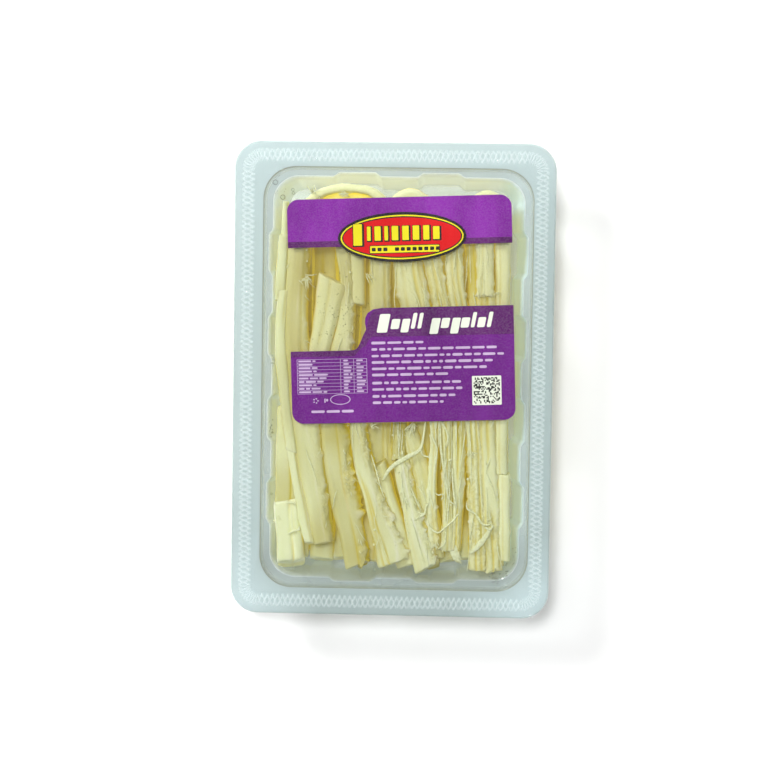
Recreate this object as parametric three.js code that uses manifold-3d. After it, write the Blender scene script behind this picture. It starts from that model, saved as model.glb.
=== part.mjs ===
// A sealed clear tray of pulled string cheese: a thermoformed tray, a heat-sealed lid film with a
// peel tab, a clear printed label on the film, and the folded bundle of cheese sticks inside.
//
// Millimetres, +Z up. The origin is under the middle of the tray's rim, on the surface it stands
// on. +Y runs along the pack's length, towards the end with the peel tab, and +X to the right.

import * as THREE from 'three';
import Module from 'manifold-3d';

const wasm = await Module();
wasm.setup();

// ---------------------------------------------------------------- driving dimensions

const PACK_WIDTH = 135;
const PACK_LENGTH = 200;
const RIM_HEIGHT = 34;
const RIM_CORNER = 11.5;
const LIP_DROP = 2.4;
const SHEET = 0.6;

const CAVITY_WIDTH = 113.2;
const CAVITY_LENGTH = 177.6;
const CAVITY_CORNER = 13.5;
const CAVITY_SHIFT = { x: 1.5, y: 0.4 };

const LEDGE_DROP = 5;
const LEDGE_WIDTH = 3.2;
const BASE_INSET = 4.5;
const BASE_FILLET = 3;

const FLUTE_PITCH = 35.3;
const FLUTE_LENGTH = 21;
const FLUTE_RAMP = 2.2;
const FLUTE_DEPTH = 1.7;
const LONG_SIDE_FLUTES = 4;
const SHORT_SIDE_FLUTES = 2;

const LAYER_GAP = 0.1;
const FILM_SHEET = 0.2;
const TAB_REACH = 1.8;
const TAB_START = 2.5;
const TAB_TIP = 10.5;
const TAB_END = 18.5;

const LABEL_SHEET = 0.15;
const LABEL_WIDTH = 95.2;
const LABEL_HEIGHT = 95.4;
const LABEL_CORNER = 5.4;
const LABEL_MARGIN = 0.5;
const LABEL_CENTRE = { x: 3.4, y: 29.9 };
const LABEL_TURN = THREE.MathUtils.degToRad(2.2);
const PRINT_SHEET = 0.1;
const HEADER_HEIGHT = 20.2;
const PANEL_HEIGHT = 48.2;
const PANEL_STEP = 17.6;
const STEP_FOOT = -22;
const STEP_HEAD = -8;
const BADGE = { width: 54, height: 21, x: 1, y: 30.5 };

const CORNER_STEPS = 6;
const SECTION_SIDES = 8;

// ---------------------------------------------------------------- materials

const clearPlastic = new THREE.MeshStandardMaterial({
  color: 0xd5e4e2, roughness: 0.12, metalness: 0, transparent: true, opacity: 0.35,
});
const clearFilm = new THREE.MeshStandardMaterial({
  color: 0xe6efee, roughness: 0.08, metalness: 0, transparent: true, opacity: 0.15,
});
const clearLabel = clearFilm.clone();
const cheese = new THREE.MeshStandardMaterial({ color: 0xe4e2b0, roughness: 0.55, metalness: 0 });
const purplePrint = new THREE.MeshStandardMaterial({ color: 0x8a3da6, roughness: 0.4, metalness: 0 });
const redPrint = new THREE.MeshStandardMaterial({ color: 0xd5202a, roughness: 0.4, metalness: 0 });

// ---------------------------------------------------------------- shared builders

// A closed body from equal rings of points, each joined to the next, with both ends capped by a
// fan. Rings run anticlockwise seen from the side that the first cap faces.
function lofted(rings) {
  const size = rings[0].length;
  const points = rings.flat();
  const triangles = [];
  for (let i = 1; i < size - 1; i += 1) triangles.push(0, i, i + 1);
  for (let k = 0; k < rings.length - 1; k += 1) {
    for (let i = 0; i < size; i += 1) {
      const next = (i + 1) % size;
      const [a, b, c, d] = [k * size + i, k * size + next, (k + 1) * size + next, (k + 1) * size + i];
      triangles.push(a, d, b, b, d, c);
    }
  }
  const last = (rings.length - 1) * size;
  for (let i = 1; i < size - 1; i += 1) triangles.push(last, last + i + 1, last + i);
  const geometry = new THREE.BufferGeometry().setFromPoints(points);
  geometry.setIndex(triangles);
  return geometry;
}

// A rounded rectangle at one height, seen from above anticlockwise. Its straight sides step out
// by `flute` over each flute, with a ramp at either end.
function trayRing({ halfX, halfY, corner, z, flute = 0, x = 0, y = 0 }) {
  const fluteStops = (count) => {
    const stops = [];
    for (let i = 0; i < count; i += 1) {
      const centre = (i - (count - 1) / 2) * FLUTE_PITCH;
      const end = FLUTE_LENGTH / 2;
      stops.push([centre - end, 0], [centre - end + FLUTE_RAMP, flute]);
      stops.push([centre + end - FLUTE_RAMP, flute], [centre + end, 0]);
    }
    return stops;
  };
  const ring = [];
  for (let side = 0; side < 4; side += 1) {
    const isLong = side % 2 === 0;
    const reach = isLong ? halfX : halfY;
    const nextReach = isLong ? halfY : halfX;
    const place = (out, along) => {
      const point = new THREE.Vector2(out, along).rotateAround(new THREE.Vector2(), side * Math.PI / 2);
      ring.push(new THREE.Vector3(point.x + x, point.y + y, z));
    };
    const stops = fluteStops(isLong ? LONG_SIDE_FLUTES : SHORT_SIDE_FLUTES);
    for (const [along, out] of stops) place(reach + out, along);
    for (let i = 0; i <= CORNER_STEPS; i += 1) {
      const angle = (i / CORNER_STEPS) * Math.PI / 2;
      place(reach - corner + corner * Math.cos(angle), nextReach - corner + corner * Math.sin(angle));
    }
  }
  return ring;
}

// A flat sheet of the given outline, lying on height z.
function flatSheet(shape, thickness, z, curveSegments = 6) {
  const geometry = new THREE.ExtrudeGeometry(shape, { depth: thickness, bevelEnabled: false, curveSegments });
  return geometry.translate(0, 0, z);
}

function roundedRectangle(width, height, corner) {
  const [x, y] = [width / 2, height / 2];
  const shape = new THREE.Shape();
  shape.absarc(x - corner, y - corner, corner, 0, Math.PI / 2);
  shape.absarc(-x + corner, y - corner, corner, Math.PI / 2, Math.PI);
  shape.absarc(-x + corner, -y + corner, corner, Math.PI, 1.5 * Math.PI);
  shape.absarc(x - corner, -y + corner, corner, 1.5 * Math.PI, 2 * Math.PI);
  return shape;
}

function part(name, geometry, material) {
  const mesh = new THREE.Mesh(geometry, material);
  mesh.name = name;
  return mesh;
}

// ---------------------------------------------------------------- tray

// Levels of the tray's upper face, from the middle of the floor out to the lip's cut edge. The
// lower face repeats them one sheet thickness away.
function tray() {
  const rim = (inset, z) => ({
    halfX: PACK_WIDTH / 2 - inset,
    halfY: PACK_LENGTH / 2 - inset,
    corner: RIM_CORNER - inset,
    z,
  });
  const cavity = (inset, z, flute = 0) => ({
    halfX: CAVITY_WIDTH / 2 - inset,
    halfY: CAVITY_LENGTH / 2 - inset,
    corner: CAVITY_CORNER - 0.75 * inset,
    z,
    flute,
    ...CAVITY_SHIFT,
  });
  const ledge = RIM_HEIGHT - LEDGE_DROP;
  const foot = LEDGE_WIDTH + BASE_INSET;
  const fillet = BASE_FILLET;
  const upper = [
    cavity(foot + fillet, SHEET),
    cavity(foot + 0.3 * fillet, SHEET + 0.3 * fillet, 0.5 * FLUTE_DEPTH),
    cavity(foot - 0.1, SHEET + fillet, FLUTE_DEPTH),
    cavity(LEDGE_WIDTH + 0.3, ledge - 1, FLUTE_DEPTH),
    cavity(LEDGE_WIDTH, ledge, FLUTE_DEPTH),
    cavity(1, ledge),
    cavity(0.5, ledge + 0.7),
    cavity(0.2, RIM_HEIGHT - 0.5),
    cavity(-0.4, RIM_HEIGHT),
    rim(1.2, RIM_HEIGHT),
    rim(0.3, RIM_HEIGHT - 0.5),
    rim(0, RIM_HEIGHT - LIP_DROP),
  ];
  const lower = [
    rim(SHEET, RIM_HEIGHT - LIP_DROP),
    rim(0.3 + SHEET, RIM_HEIGHT - 0.5 - SHEET),
    rim(1.2 + SHEET, RIM_HEIGHT - SHEET),
    cavity(-0.4 - SHEET, RIM_HEIGHT - SHEET),
    cavity(0.2 - SHEET, RIM_HEIGHT - 0.5 - SHEET),
    cavity(0.5 - SHEET, ledge + 0.7 - SHEET),
    cavity(1 - SHEET, ledge - SHEET),
    cavity(LEDGE_WIDTH - SHEET, ledge - SHEET, FLUTE_DEPTH),
    cavity(LEDGE_WIDTH + 0.3 - SHEET, ledge - 1 - SHEET, FLUTE_DEPTH),
    cavity(foot - 0.1 - SHEET, fillet, FLUTE_DEPTH),
    cavity(foot + 0.3 * fillet - 0.7 * SHEET, 0.3 * fillet, 0.5 * FLUTE_DEPTH),
    cavity(foot + fillet, 0),
  ];
  return part('tray', lofted([...upper, ...lower].map(trayRing)), clearPlastic);
}

// ---------------------------------------------------------------- lid film and label

const FILM_BOTTOM = RIM_HEIGHT + LAYER_GAP;
const LABEL_BOTTOM = FILM_BOTTOM + FILM_SHEET + LAYER_GAP;
const PRINT_BOTTOM = LABEL_BOTTOM + LABEL_SHEET + LAYER_GAP;
const BADGE_BOTTOM = PRINT_BOTTOM + PRINT_SHEET + LAYER_GAP;

// The film covers the rim, with a straight-edged tab past the rounded corner to peel it by.
function lidFilm() {
  const [x, y, corner] = [PACK_WIDTH / 2 - 0.3, PACK_LENGTH / 2 - 0.3, RIM_CORNER];
  const shape = new THREE.Shape();
  shape.absarc(-x + corner, -y + corner, corner, Math.PI, 1.5 * Math.PI);
  shape.absarc(x - corner, -y + corner, corner, 1.5 * Math.PI, 2 * Math.PI);
  shape.absarc(x - corner, y - corner, corner, 0, Math.PI / 2);
  shape.lineTo(-x + TAB_START, y);
  shape.lineTo(-PACK_WIDTH / 2 - TAB_REACH, y - TAB_TIP);
  shape.lineTo(-x, y - TAB_END);
  shape.closePath();
  return part('lid_film', flatSheet(shape, FILM_SHEET, FILM_BOTTOM), clearFilm);
}

function labelFilm() {
  const shape = roundedRectangle(LABEL_WIDTH, LABEL_HEIGHT, LABEL_CORNER);
  return part('label', flatSheet(shape, LABEL_SHEET, LABEL_BOTTOM), clearLabel);
}

const PRINT_X = LABEL_WIDTH / 2 - LABEL_MARGIN;
const PRINT_Y = LABEL_HEIGHT / 2 - LABEL_MARGIN;
const PRINT_CORNER = LABEL_CORNER - LABEL_MARGIN;

// Upper field of colour: rounded at the label's own corners, straight along its foot.
function labelHeader() {
  const shape = new THREE.Shape();
  shape.moveTo(-PRINT_X, PRINT_Y - HEADER_HEIGHT);
  shape.lineTo(PRINT_X, PRINT_Y - HEADER_HEIGHT);
  shape.absarc(PRINT_X - PRINT_CORNER, PRINT_Y - PRINT_CORNER, PRINT_CORNER, 0, Math.PI / 2);
  shape.absarc(-PRINT_X + PRINT_CORNER, PRINT_Y - PRINT_CORNER, PRINT_CORNER, Math.PI / 2, Math.PI);
  shape.closePath();
  return part('label_header', flatSheet(shape, PRINT_SHEET, PRINT_BOTTOM), purplePrint);
}

// Lower field of colour: its top edge climbs from left to right over one smooth step.
function labelPanel() {
  const top = -PRINT_Y + PANEL_HEIGHT;
  const low = top - PANEL_STEP;
  const middle = (STEP_FOOT + STEP_HEAD) / 2;
  const shape = new THREE.Shape();
  shape.absarc(-PRINT_X + PRINT_CORNER, -PRINT_Y + PRINT_CORNER, PRINT_CORNER, Math.PI, 1.5 * Math.PI);
  shape.absarc(PRINT_X - PRINT_CORNER, -PRINT_Y + PRINT_CORNER, PRINT_CORNER, 1.5 * Math.PI, 2 * Math.PI);
  shape.lineTo(PRINT_X, top);
  shape.lineTo(STEP_HEAD, top);
  shape.bezierCurveTo(middle - 1, top, middle - 1, top - 5, middle, (top + low) / 2);
  shape.bezierCurveTo(middle - 4, low + 1, middle - 3, low, STEP_FOOT, low);
  shape.lineTo(-PRINT_X, low);
  shape.closePath();
  return part('label_panel', flatSheet(shape, PRINT_SHEET, PRINT_BOTTOM, 5), purplePrint);
}

// A plain oval field over the header's foot.
function labelBadge() {
  const shape = new THREE.Shape();
  shape.absellipse(BADGE.x, BADGE.y, BADGE.width / 2, BADGE.height / 2, 0, 2 * Math.PI);
  return part('label_badge', flatSheet(shape, PRINT_SHEET, BADGE_BOTTOM, 16), redPrint);
}

function label() {
  const group = new THREE.Group();
  group.position.set(LABEL_CENTRE.x, LABEL_CENTRE.y, 0);
  group.rotation.z = LABEL_TURN;
  group.add(labelFilm(), labelHeader(), labelPanel(), labelBadge());
  return group;
}

// ---------------------------------------------------------------- cheese

// One stick: its height, its widths spread evenly along its route, and the route from the far end
// to the near one as points [x, y, depth of the stick's upper face under the rim].
const bar = (height, widths, ...route) => ({ height, widths, route });

const TOP_STICKS = [
  // Left edge: a thin lobe, a second one that takes over from it, and the wide stick beside them.
  bar(9, [5, 5], [-46.5, 74, 2.5], [-48, 18, 1.2], [-42.8, -31, 1]),
  bar(9, [4.5, 4], [-43, -28, 1.6], [-37.5, -56, 0.9], [-34.4, -69.5, 1]),
  bar(10.5, [10, 9.4, 12, 9], [-39.5, 74, 2.5], [-41.2, 14, 1], [-33.6, -39, 0.8], [-28, -69.6, 1]),
  bar(10.5, [9, 10], [-44.5, -12, 4], [-44.8, -56, 2.6]),
  bar(10.5, [11, 11.5], [-44.6, -52, 1.6], [-42.4, -77.2, 1.4]),
  // Left middle: a short stick with a clean cut end, and the ones it lies against.
  bar(10, [12.6, 9.6, 9], [-26, 42, 1.6], [-31.3, 14, 2.2], [-35, -4, 4]),
  bar(10.5, [6, 5.8, 11.5, 12.8, 10.6], [-24, 72, 4], [-20, 33, 2.6], [-25, -18, 1.6], [-13.9, -79, 2]),
  bar(8, [6.8, 6], [-15.9, 74, 4], [-15.1, 32, 3.6]),
  bar(10, [8.4, 9.4, 9], [-6.4, 73, 3], [-5.8, 30, 2.4], [-6.4, 2, 5]),
  // Near middle: sticks fanning out to the right, over deeper ones.
  bar(10.5, [6.6, 7.4, 8.8, 14.5], [-15.8, 8, 3], [-14, -24, 1], [-6.4, -52, 0.8], [2, -77.6, 1.8]),
  bar(9, [6.6, 9], [-5.5, -36.4, 4.4], [-0.9, -52, 3.4], [7.3, -79, 4]),
  bar(10.5, [6.4, 8, 11], [4.3, -34.6, 1.6], [9.8, -58, 0.8], [15.7, -79.4, 1.8]),
  bar(9, [6, 7], [7.3, -20, 6], [14.3, -46, 3.8], [19.6, -76, 5]),
  bar(9, [10, 10], [-6.8, 4, 12], [-6.7, -42, 11]),
  bar(9, [7.4, 6], [1.6, 4, 7], [3.6, -34, 5]),
  bar(9, [8, 8], [12.3, 4, 9], [12.9, -46, 9]),
  // Right: long sticks pulled into fibres, leaning towards the right edge.
  bar(10.5, [11.5, 12.8, 9.6, 8.8, 9], [4.6, 73, 3], [6, 47, 1.4], [19, -4, 1.4], [22.3, -72, 3]),
  bar(10.5, [7.6, 7.4, 7, 6], [14.5, 73, 3.4], [17, 47, 2], [27, 0, 2], [30.6, -74, 3.6]),
  bar(10.5, [8, 7.6, 6.4, 7.2], [24, 73, 3.4], [25.4, 46, 1.8], [33.4, -10, 1.6], [37.6, -80.4, 2.6]),
  bar(9, [6.4, 6], [32.2, 73, 4.4], [35.5, 20, 3.6]),
  bar(9, [8, 7.2], [38.4, 74, 2], [38.5, 36, 1.2]),
  bar(10.5, [8, 8.4, 7.2], [39.4, 38, 2.6], [40.3, -18, 1.4], [44.2, -80.4, 2.6]),
  bar(10, [7, 6, 4.6], [45.3, 73, 3], [46.4, 0, 1.6], [47.4, -38.6, 1.8]),
  bar(10, [4.4, 4.2], [48, -39.4, 2.4], [49, -76.4, 2.4]),
];

// Sticks folded back on themselves at the far end.
const FOLDS = [
  bar(12, [8, 7.6], [-37, 58, 3], [-36.5, 71, 2.6], [-21, 78.6, 2.2], [-7.4, 74, 2.4], [-5.5, 62, 3]),
  bar(12, [7, 7.4], [2.5, 62, 3], [4.4, 73, 2.4], [10, 77.4, 2.2], [15.6, 73, 2.6], [16.6, 62, 3]),
  bar(12, [7, 7.2], [29, 62, 3], [31.4, 72.4, 2.8], [37.5, 76, 2.6], [43.2, 72.6, 2.6], [44.6, 62, 3]),
];

// Thick threads pulled off the sticks, lying across them.
const THREADS = [
  bar(2.4, [1.6, 2.6, 2], [15.4, -17, 2], [12.6, -27, 1.6], [4.6, -33.4, 1], [-3.6, -41.6, 2.6]),
  bar(2.4, [1.6, 2.4, 2], [43.4, -62.8, 1], [39.6, -69, 0.9], [35.2, -74.2, 2]),
];

// Distances between a body's sections along its route.
const TOP_SPACING = 14;
const FOLD_SPACING = 7;
const LOWER_SPACING = 38;
const SECTION_SQUARENESS = 0.55;

const LAYER_COUNT = 9;
const LAYER_SPACING = 10.5;
const LAYER_STICK = { height: 10.6, widths: [10.4, 11, 10.4] };
const MIDDLE_LAYER_DEPTH = 11.8;
const BOTTOM_LAYER_DEPTH = 22.3;
const NEAR_END = -76.5;
const FAR_END = 74;
const CORE = { halfWidth: 41, near: -70, far: 70, top: 21.7, bottom: 5, edge: 3 };
const DRAW_SEED = 20731;

// Repeatable draws between two values, so that the same uneven bundle comes out each time.
function repeatableDraws(seed) {
  let state = seed;
  return (low, high) => {
    state = (state * 16807) % 2147483647;
    return low + (high - low) * (state / 2147483647);
  };
}

// A rounded oblong section carried along a stick's route, upright all the way.
function stickBody({ height, widths, route }, spacing) {
  const centres = route.map(([x, y, depth]) => new THREE.Vector3(x, y, RIM_HEIGHT - depth - height / 2));
  const curve = new THREE.CatmullRomCurve3(centres, false, 'centripetal');
  const steps = Math.max(2, Math.round(curve.getLength() / spacing));
  const flatten = (value) => Math.sign(value) * Math.abs(value) ** SECTION_SQUARENESS;
  const rings = [];
  for (let k = 0; k <= steps; k += 1) {
    const along = k / steps;
    const centre = curve.getPointAt(along);
    const ahead = curve.getTangentAt(along).setZ(0).normalize();
    const place = along * (widths.length - 1);
    const before = Math.min(Math.floor(place), widths.length - 2);
    const width = THREE.MathUtils.lerp(widths[before], widths[before + 1], place - before);
    const ring = [];
    for (let i = 0; i < SECTION_SIDES; i += 1) {
      const angle = ((i + 0.5) / SECTION_SIDES) * 2 * Math.PI;
      const across = flatten(Math.cos(angle)) * width / 2;
      const up = flatten(Math.sin(angle)) * height / 2;
      ring.push(new THREE.Vector3(centre.x + ahead.y * across, centre.y - ahead.x * across, centre.z + up));
    }
    rings.push(ring);
  }
  return lofted(rings);
}

// The two lower layers, side by side along the pack.
function lowerSticks() {
  const draw = repeatableDraws(DRAW_SEED);
  const sticks = [];
  for (const layer of [MIDDLE_LAYER_DEPTH, BOTTOM_LAYER_DEPTH]) {
    for (let i = 0; i < LAYER_COUNT; i += 1) {
      const x = CAVITY_SHIFT.x + (i - (LAYER_COUNT - 1) / 2) * LAYER_SPACING;
      const depth = layer + draw(-0.3, 0.2);
      const route = [FAR_END + draw(-3, 1), 0, NEAR_END + draw(-2.5, 2)]
        .map((y) => [x + draw(-0.5, 0.5), y, depth]);
      sticks.push({ ...LAYER_STICK, route });
    }
  }
  return sticks;
}

// The closed body of a mesh as a solid that can be joined to others.
function solid(geometry) {
  return new wasm.Manifold(new wasm.Mesh({
    numProp: 3,
    vertProperties: new Float32Array(geometry.attributes.position.array),
    triVerts: new Uint32Array(geometry.index.array),
  }));
}

// The block in the middle of the bundle that all sticks are joined to.
function core() {
  const { halfWidth, near, far, top, bottom, edge } = CORE;
  const level = (inset, z) => [
    new THREE.Vector3(CAVITY_SHIFT.x + halfWidth - inset, near + inset, z),
    new THREE.Vector3(CAVITY_SHIFT.x + halfWidth - inset, far - inset, z),
    new THREE.Vector3(CAVITY_SHIFT.x - halfWidth + inset, far - inset, z),
    new THREE.Vector3(CAVITY_SHIFT.x - halfWidth + inset, near + inset, z),
  ];
  return lofted([level(edge, top), level(0, top - edge), level(0, bottom + edge), level(edge, bottom)]);
}

// All sticks joined to the core in one body. Hollows that the joining seals are filled.
function cheeseBundle() {
  const bodies = [core()];
  for (const stick of lowerSticks()) bodies.push(stickBody(stick, LOWER_SPACING));
  for (const stick of [...TOP_STICKS, ...THREADS]) bodies.push(stickBody(stick, TOP_SPACING));
  for (const fold of FOLDS) bodies.push(stickBody(fold, FOLD_SPACING));
  const joined = wasm.Manifold.union(bodies.map(solid));
  const whole = joined.decompose().reduce((a, b) => (b.volume() > a.volume() ? b : a));
  const { vertProperties, triVerts } = whole.getMesh();
  const geometry = new THREE.BufferGeometry();
  geometry.setAttribute('position', new THREE.BufferAttribute(vertProperties, 3));
  geometry.setIndex(new THREE.BufferAttribute(triVerts, 1));
  return part('cheese_bundle', geometry, cheese);
}

// ---------------------------------------------------------------- the pack

const pack = new THREE.Group();
pack.add(tray(), cheeseBundle(), lidFilm(), label());

export default pack;
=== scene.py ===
"""A sealed clear tray of pulled string cheese: tray, lid film, printed label and a bundle of sticks.

Sizes in the tables are millimetres in the pack's own frame: the origin is on the ground under the
middle of the rim, +Y runs towards the end with the peel tab and +X to the right, seen from above.
"""

import math
import random
from collections import namedtuple

import bmesh
import bpy
import numpy as np
from bpy.props import FloatProperty, FloatVectorProperty, IntProperty, PointerProperty
from bpy.types import Operator, Panel, PropertyGroup
from mathutils import Matrix, Vector, noise
from mathutils.geometry import interpolate_bezier


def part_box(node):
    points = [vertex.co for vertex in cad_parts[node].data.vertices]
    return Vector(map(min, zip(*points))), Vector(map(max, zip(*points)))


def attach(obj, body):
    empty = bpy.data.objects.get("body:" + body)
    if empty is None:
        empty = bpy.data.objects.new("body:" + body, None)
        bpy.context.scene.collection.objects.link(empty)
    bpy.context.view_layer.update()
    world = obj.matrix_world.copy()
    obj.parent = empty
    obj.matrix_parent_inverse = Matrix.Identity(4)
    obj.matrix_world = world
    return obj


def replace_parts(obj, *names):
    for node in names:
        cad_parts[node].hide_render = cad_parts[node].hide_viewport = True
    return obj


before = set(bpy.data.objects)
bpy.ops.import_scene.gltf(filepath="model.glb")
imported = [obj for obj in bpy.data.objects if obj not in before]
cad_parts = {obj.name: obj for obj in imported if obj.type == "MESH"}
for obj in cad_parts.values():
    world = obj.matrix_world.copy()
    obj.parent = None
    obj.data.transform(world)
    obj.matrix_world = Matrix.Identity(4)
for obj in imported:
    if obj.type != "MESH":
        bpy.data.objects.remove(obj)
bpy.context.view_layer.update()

bl_info = {
    "name": "String cheese pack",
    "version": (1, 0, 0),
    "blender": (4, 5, 0),
    "location": "3D View > Sidebar > Cheese Pack",
    "description": "Makes a sealed clear tray of pulled string cheese with a printed label",
    "category": "Object",
}

MM = 0.001
TRAY_LOW, TRAY_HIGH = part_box("tray")
FILM_LOW, FILM_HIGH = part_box("lid_film")
RIM_HEIGHT = TRAY_HIGH.z / MM
PACK_WIDTH = (TRAY_HIGH.x - TRAY_LOW.x) / MM
PACK_LENGTH = (TRAY_HIGH.y - TRAY_LOW.y) / MM
FILM_UNDER = FILM_LOW.z / MM
FILM_TOP = FILM_HIGH.z / MM

LABEL_CENTRE = Vector((3.4, 29.9))
LABEL_TURN = math.radians(2.2)
LABEL_WIDTH, LABEL_HEIGHT = 95.2, 95.4

DOUBLES = 1e-4  # corners nearer than this are one


# ---------------------------------------------------------------- properties


def colour(name, description, default):
    """A colour setting."""
    return FloatVectorProperty(
        name=name, description=description, subtype="COLOR", size=3, min=0.0, max=1.0, default=default
    )


def length(name, description, default_mm):
    """A length setting, kept in metres."""
    return FloatProperty(
        name=name, description=description, subtype="DISTANCE", unit="LENGTH", min=0.0,
        default=default_mm * MM, precision=5,
    )


def factor(name, description, default):
    """A share from 0 to 1."""
    return FloatProperty(
        name=name, description=description, subtype="FACTOR", min=0.0, max=1.0, default=default
    )


def number(name, description, default, unit="NONE"):
    """A number in its unit."""
    return FloatProperty(name=name, description=description, default=default, min=0.0, unit=unit)


class TraySettings(PropertyGroup):
    """Sizes and colours of the tray."""

    sheet: length("Sheet", "Thickness of the tray's sheet", 0.6)
    tint: colour("Tint", "Light that one face of the sheet lets through", (0.955, 0.975, 0.97))
    edge_tint: colour("Edge tint", "Light let through where it is seen edge on", (0.94, 0.93, 0.84))
    # Cloud colours of the rim and walls: the dark ones are painted shade at the near end, the light ones
    # painted light elsewhere.
    rim_painted_shade: colour("Rim, dark", "Cloudiness of the rim at the near end", (0.53, 0.63, 0.61))
    rim_painted_light: colour("Rim, light", "Cloudiness of the rim elsewhere", (0.80, 0.94, 0.95))
    wall_painted_shade: colour("Wall, dark", "Cloudiness of the walls at the near end", (0.29, 0.39, 0.43))
    wall_painted_light: colour("Wall, light", "Cloudiness of the walls at the far end", (0.93, 1.0, 1.0))
    haze: factor("Haze", "Share of cloudiness at each face of the rim", 0.6)
    wall_haze: factor("Wall haze", "Share of cloudiness at each face of the walls and floor", 0.10)
    # The line colour paints dark lines on the sheet's bends and painted shade on the near ledge.
    line: colour("Line", "Colour of the sheet's bends, seen edge on", (0.26, 0.27, 0.19))
    # Milkiness whitens the side walls seen edge on: partly milky plastic, partly painted light.
    milk_and_painted_light: colour("Milk", "Colour of the side walls, seen edge on", (0.60, 0.82, 1.0))
    # Wall glow is a painted glow: the walls and floor give light though they are no lamp.
    wall_painted_glow: factor("Wall glow", "Light from the sides that the walls and floor pass on", 0.27)
    shade: factor("Shade", "Share of light that one face of the rim lets into the pack's shadow", 0.14)


class FilmSettings(PropertyGroup):
    """Sizes and colours of the lid film."""

    knurl_height: length("Knurl height", "Height of the seal's ridges", 0.22)
    knurl_pitch: length("Knurl pitch", "Distance between the seal's ridges", 2.2)
    knurl_band: length("Knurl band", "Width of the ridged band round the rim", 5.6)
    tint: colour("Tint", "Light that one face of the film lets through", (0.940, 0.948, 0.952))
    edge_tint: colour("Edge tint", "Light let through where it is seen edge on", (0.84, 0.87, 0.86))
    cloud: colour("Cloud", "Colour of the cloudiness", (0.7, 0.78, 0.77))
    ridge: colour("Ridge", "Colour of the cloudiness on the seal's ridges", (0.92, 0.97, 0.97))
    haze: factor("Haze", "Share of cloudiness at each face", 0.005)


class CheeseSettings(PropertyGroup):
    """Sizes and colours of the cheese."""

    along_step: length("Step along", "Distance between sections along a stick", 1.05)
    around_step: length("Step around", "Distance between points round a section", 0.58)
    pale: colour("Pale", "Colour of the upper faces", (0.79, 0.82, 0.495))
    # The ridge colour gives the paler streaks and, lifted, the painted highlights on the edges.
    ridge: colour("Ridge", "Colour of dried ridges and threads", (0.86, 0.88, 0.60))
    # Deep is painted shade: the golden colour of the creases and of the sticks' sides.
    deep: colour("Deep", "Colour in the creases between sticks", (0.45, 0.368, 0.030))
    # Glow is painted glow: golden light given off in the gaps, though the cheese is no lamp.
    glow: colour("Glow", "Light that comes through the cheese into its gaps", (0.272, 0.212, 0.010))
    seed: IntProperty(name="Seed", description="Seed of the uneven places", default=11, min=0)


class PrintSettings(PropertyGroup):
    """Colours of the label and its print."""

    film: colour("Film", "Light that one face of the label lets through", (0.998, 0.988, 0.968))
    film_edge: colour("Film edge", "Light let through where it is seen edge on", (0.86, 0.86, 0.66))
    film_cloud: colour("Film cloud", "Colour of the label's cloudiness", (0.93, 0.95, 0.90))
    film_haze: factor("Film haze", "Share of cloudiness at each face", 0.008)
    header: colour("Upper field", "Purple of the upper field", (0.190, 0.013, 0.285))
    panel: colour("Lower field", "Purple of the lower field", (0.118, 0.003, 0.180))
    band: colour("Band", "Darker purple of the bands", (0.076, 0.001, 0.096))
    cream: colour("Cream", "Cream of the title", (0.72, 0.76, 0.64))
    small_print: colour("Small print", "Pale lilac of the small print", (0.50, 0.38, 0.56))
    red: colour("Red", "Red of the badge", (0.61, 0.004, 0.006))
    yellow: colour("Yellow", "Yellow of the badge", (0.74, 0.66, 0.012))
    black: colour("Black", "Black of the badge's rim", (0.006, 0.005, 0.004))


class StageSettings(PropertyGroup):
    """Camera, lights and floor."""

    lens: number("Lens", "Focal length of the camera", 87.92, "CAMERA")
    key: number("Key light", "Power of the light from above", 12.6, "POWER")
    side: number("Side light", "Power of the low light from the far left", 10.5, "POWER")
    glint: number("Glints", "Power of each of the two small lights", 45.0, "POWER")
    sky: number("Sky", "Strength of the light from all round", 0.46)
    floor: colour("Floor", "Colour of the floor", (0.96, 0.96, 0.96))
    glow: factor("Floor glow", "Light that the floor, a lit table, gives by itself", 0.06)


# ---------------------------------------------------------------- shared makers


def finish_piece(name, body, material, smooth=True):
    """Makes a bmesh in millimetres into a piece that rides with the pack."""
    bmesh.ops.scale(body, vec=(MM, MM, MM), verts=body.verts)
    mesh = bpy.data.meshes.new(name)
    body.to_mesh(mesh)
    body.free()
    if smooth:
        mesh.shade_smooth()
    mesh.materials.append(material)
    piece = bpy.data.objects.new(name, mesh)
    bpy.context.scene.collection.objects.link(piece)
    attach(piece, "root")
    return piece


def add_grid(body, across, along, place):
    """Adds a grid whose corner (i, j) is moved to place(i, j). Corners that meet are merged."""
    half = 0.5
    made = bmesh.ops.create_grid(body, x_segments=across, y_segments=along, size=half)["verts"]
    for corner in made:
        i = round((corner.co.x + half) * across)
        j = round((corner.co.y + half) * along)
        place(corner, i, j)
    bmesh.ops.remove_doubles(body, verts=made, dist=DOUBLES)
    return [corner for corner in made if corner.is_valid]


def raise_faces(body, faces, height):
    """Gives flat faces a thickness, upwards."""
    raised = bmesh.ops.extrude_face_region(body, geom=faces)["geom"]
    lifted = [g for g in raised if isinstance(g, bmesh.types.BMVert)]
    bmesh.ops.translate(body, vec=(0, 0, height), verts=lifted)
    bmesh.ops.recalc_face_normals(body, faces=body.faces)


def smoothstep(low, high, value):
    """0 below low, 1 above high, and a smooth rise between."""
    share = min(max((value - low) / (high - low), 0.0), 1.0)
    return share * share * (3.0 - 2.0 * share)


def spread(values, share):
    """The value at this share of the way through evenly spaced values."""
    place = min(max(share, 0.0), 1.0) * (len(values) - 1)
    before = min(int(place), len(values) - 2)
    return values[before] + (values[before + 1] - values[before]) * (place - before)


# ---------------------------------------------------------------- materials

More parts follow.
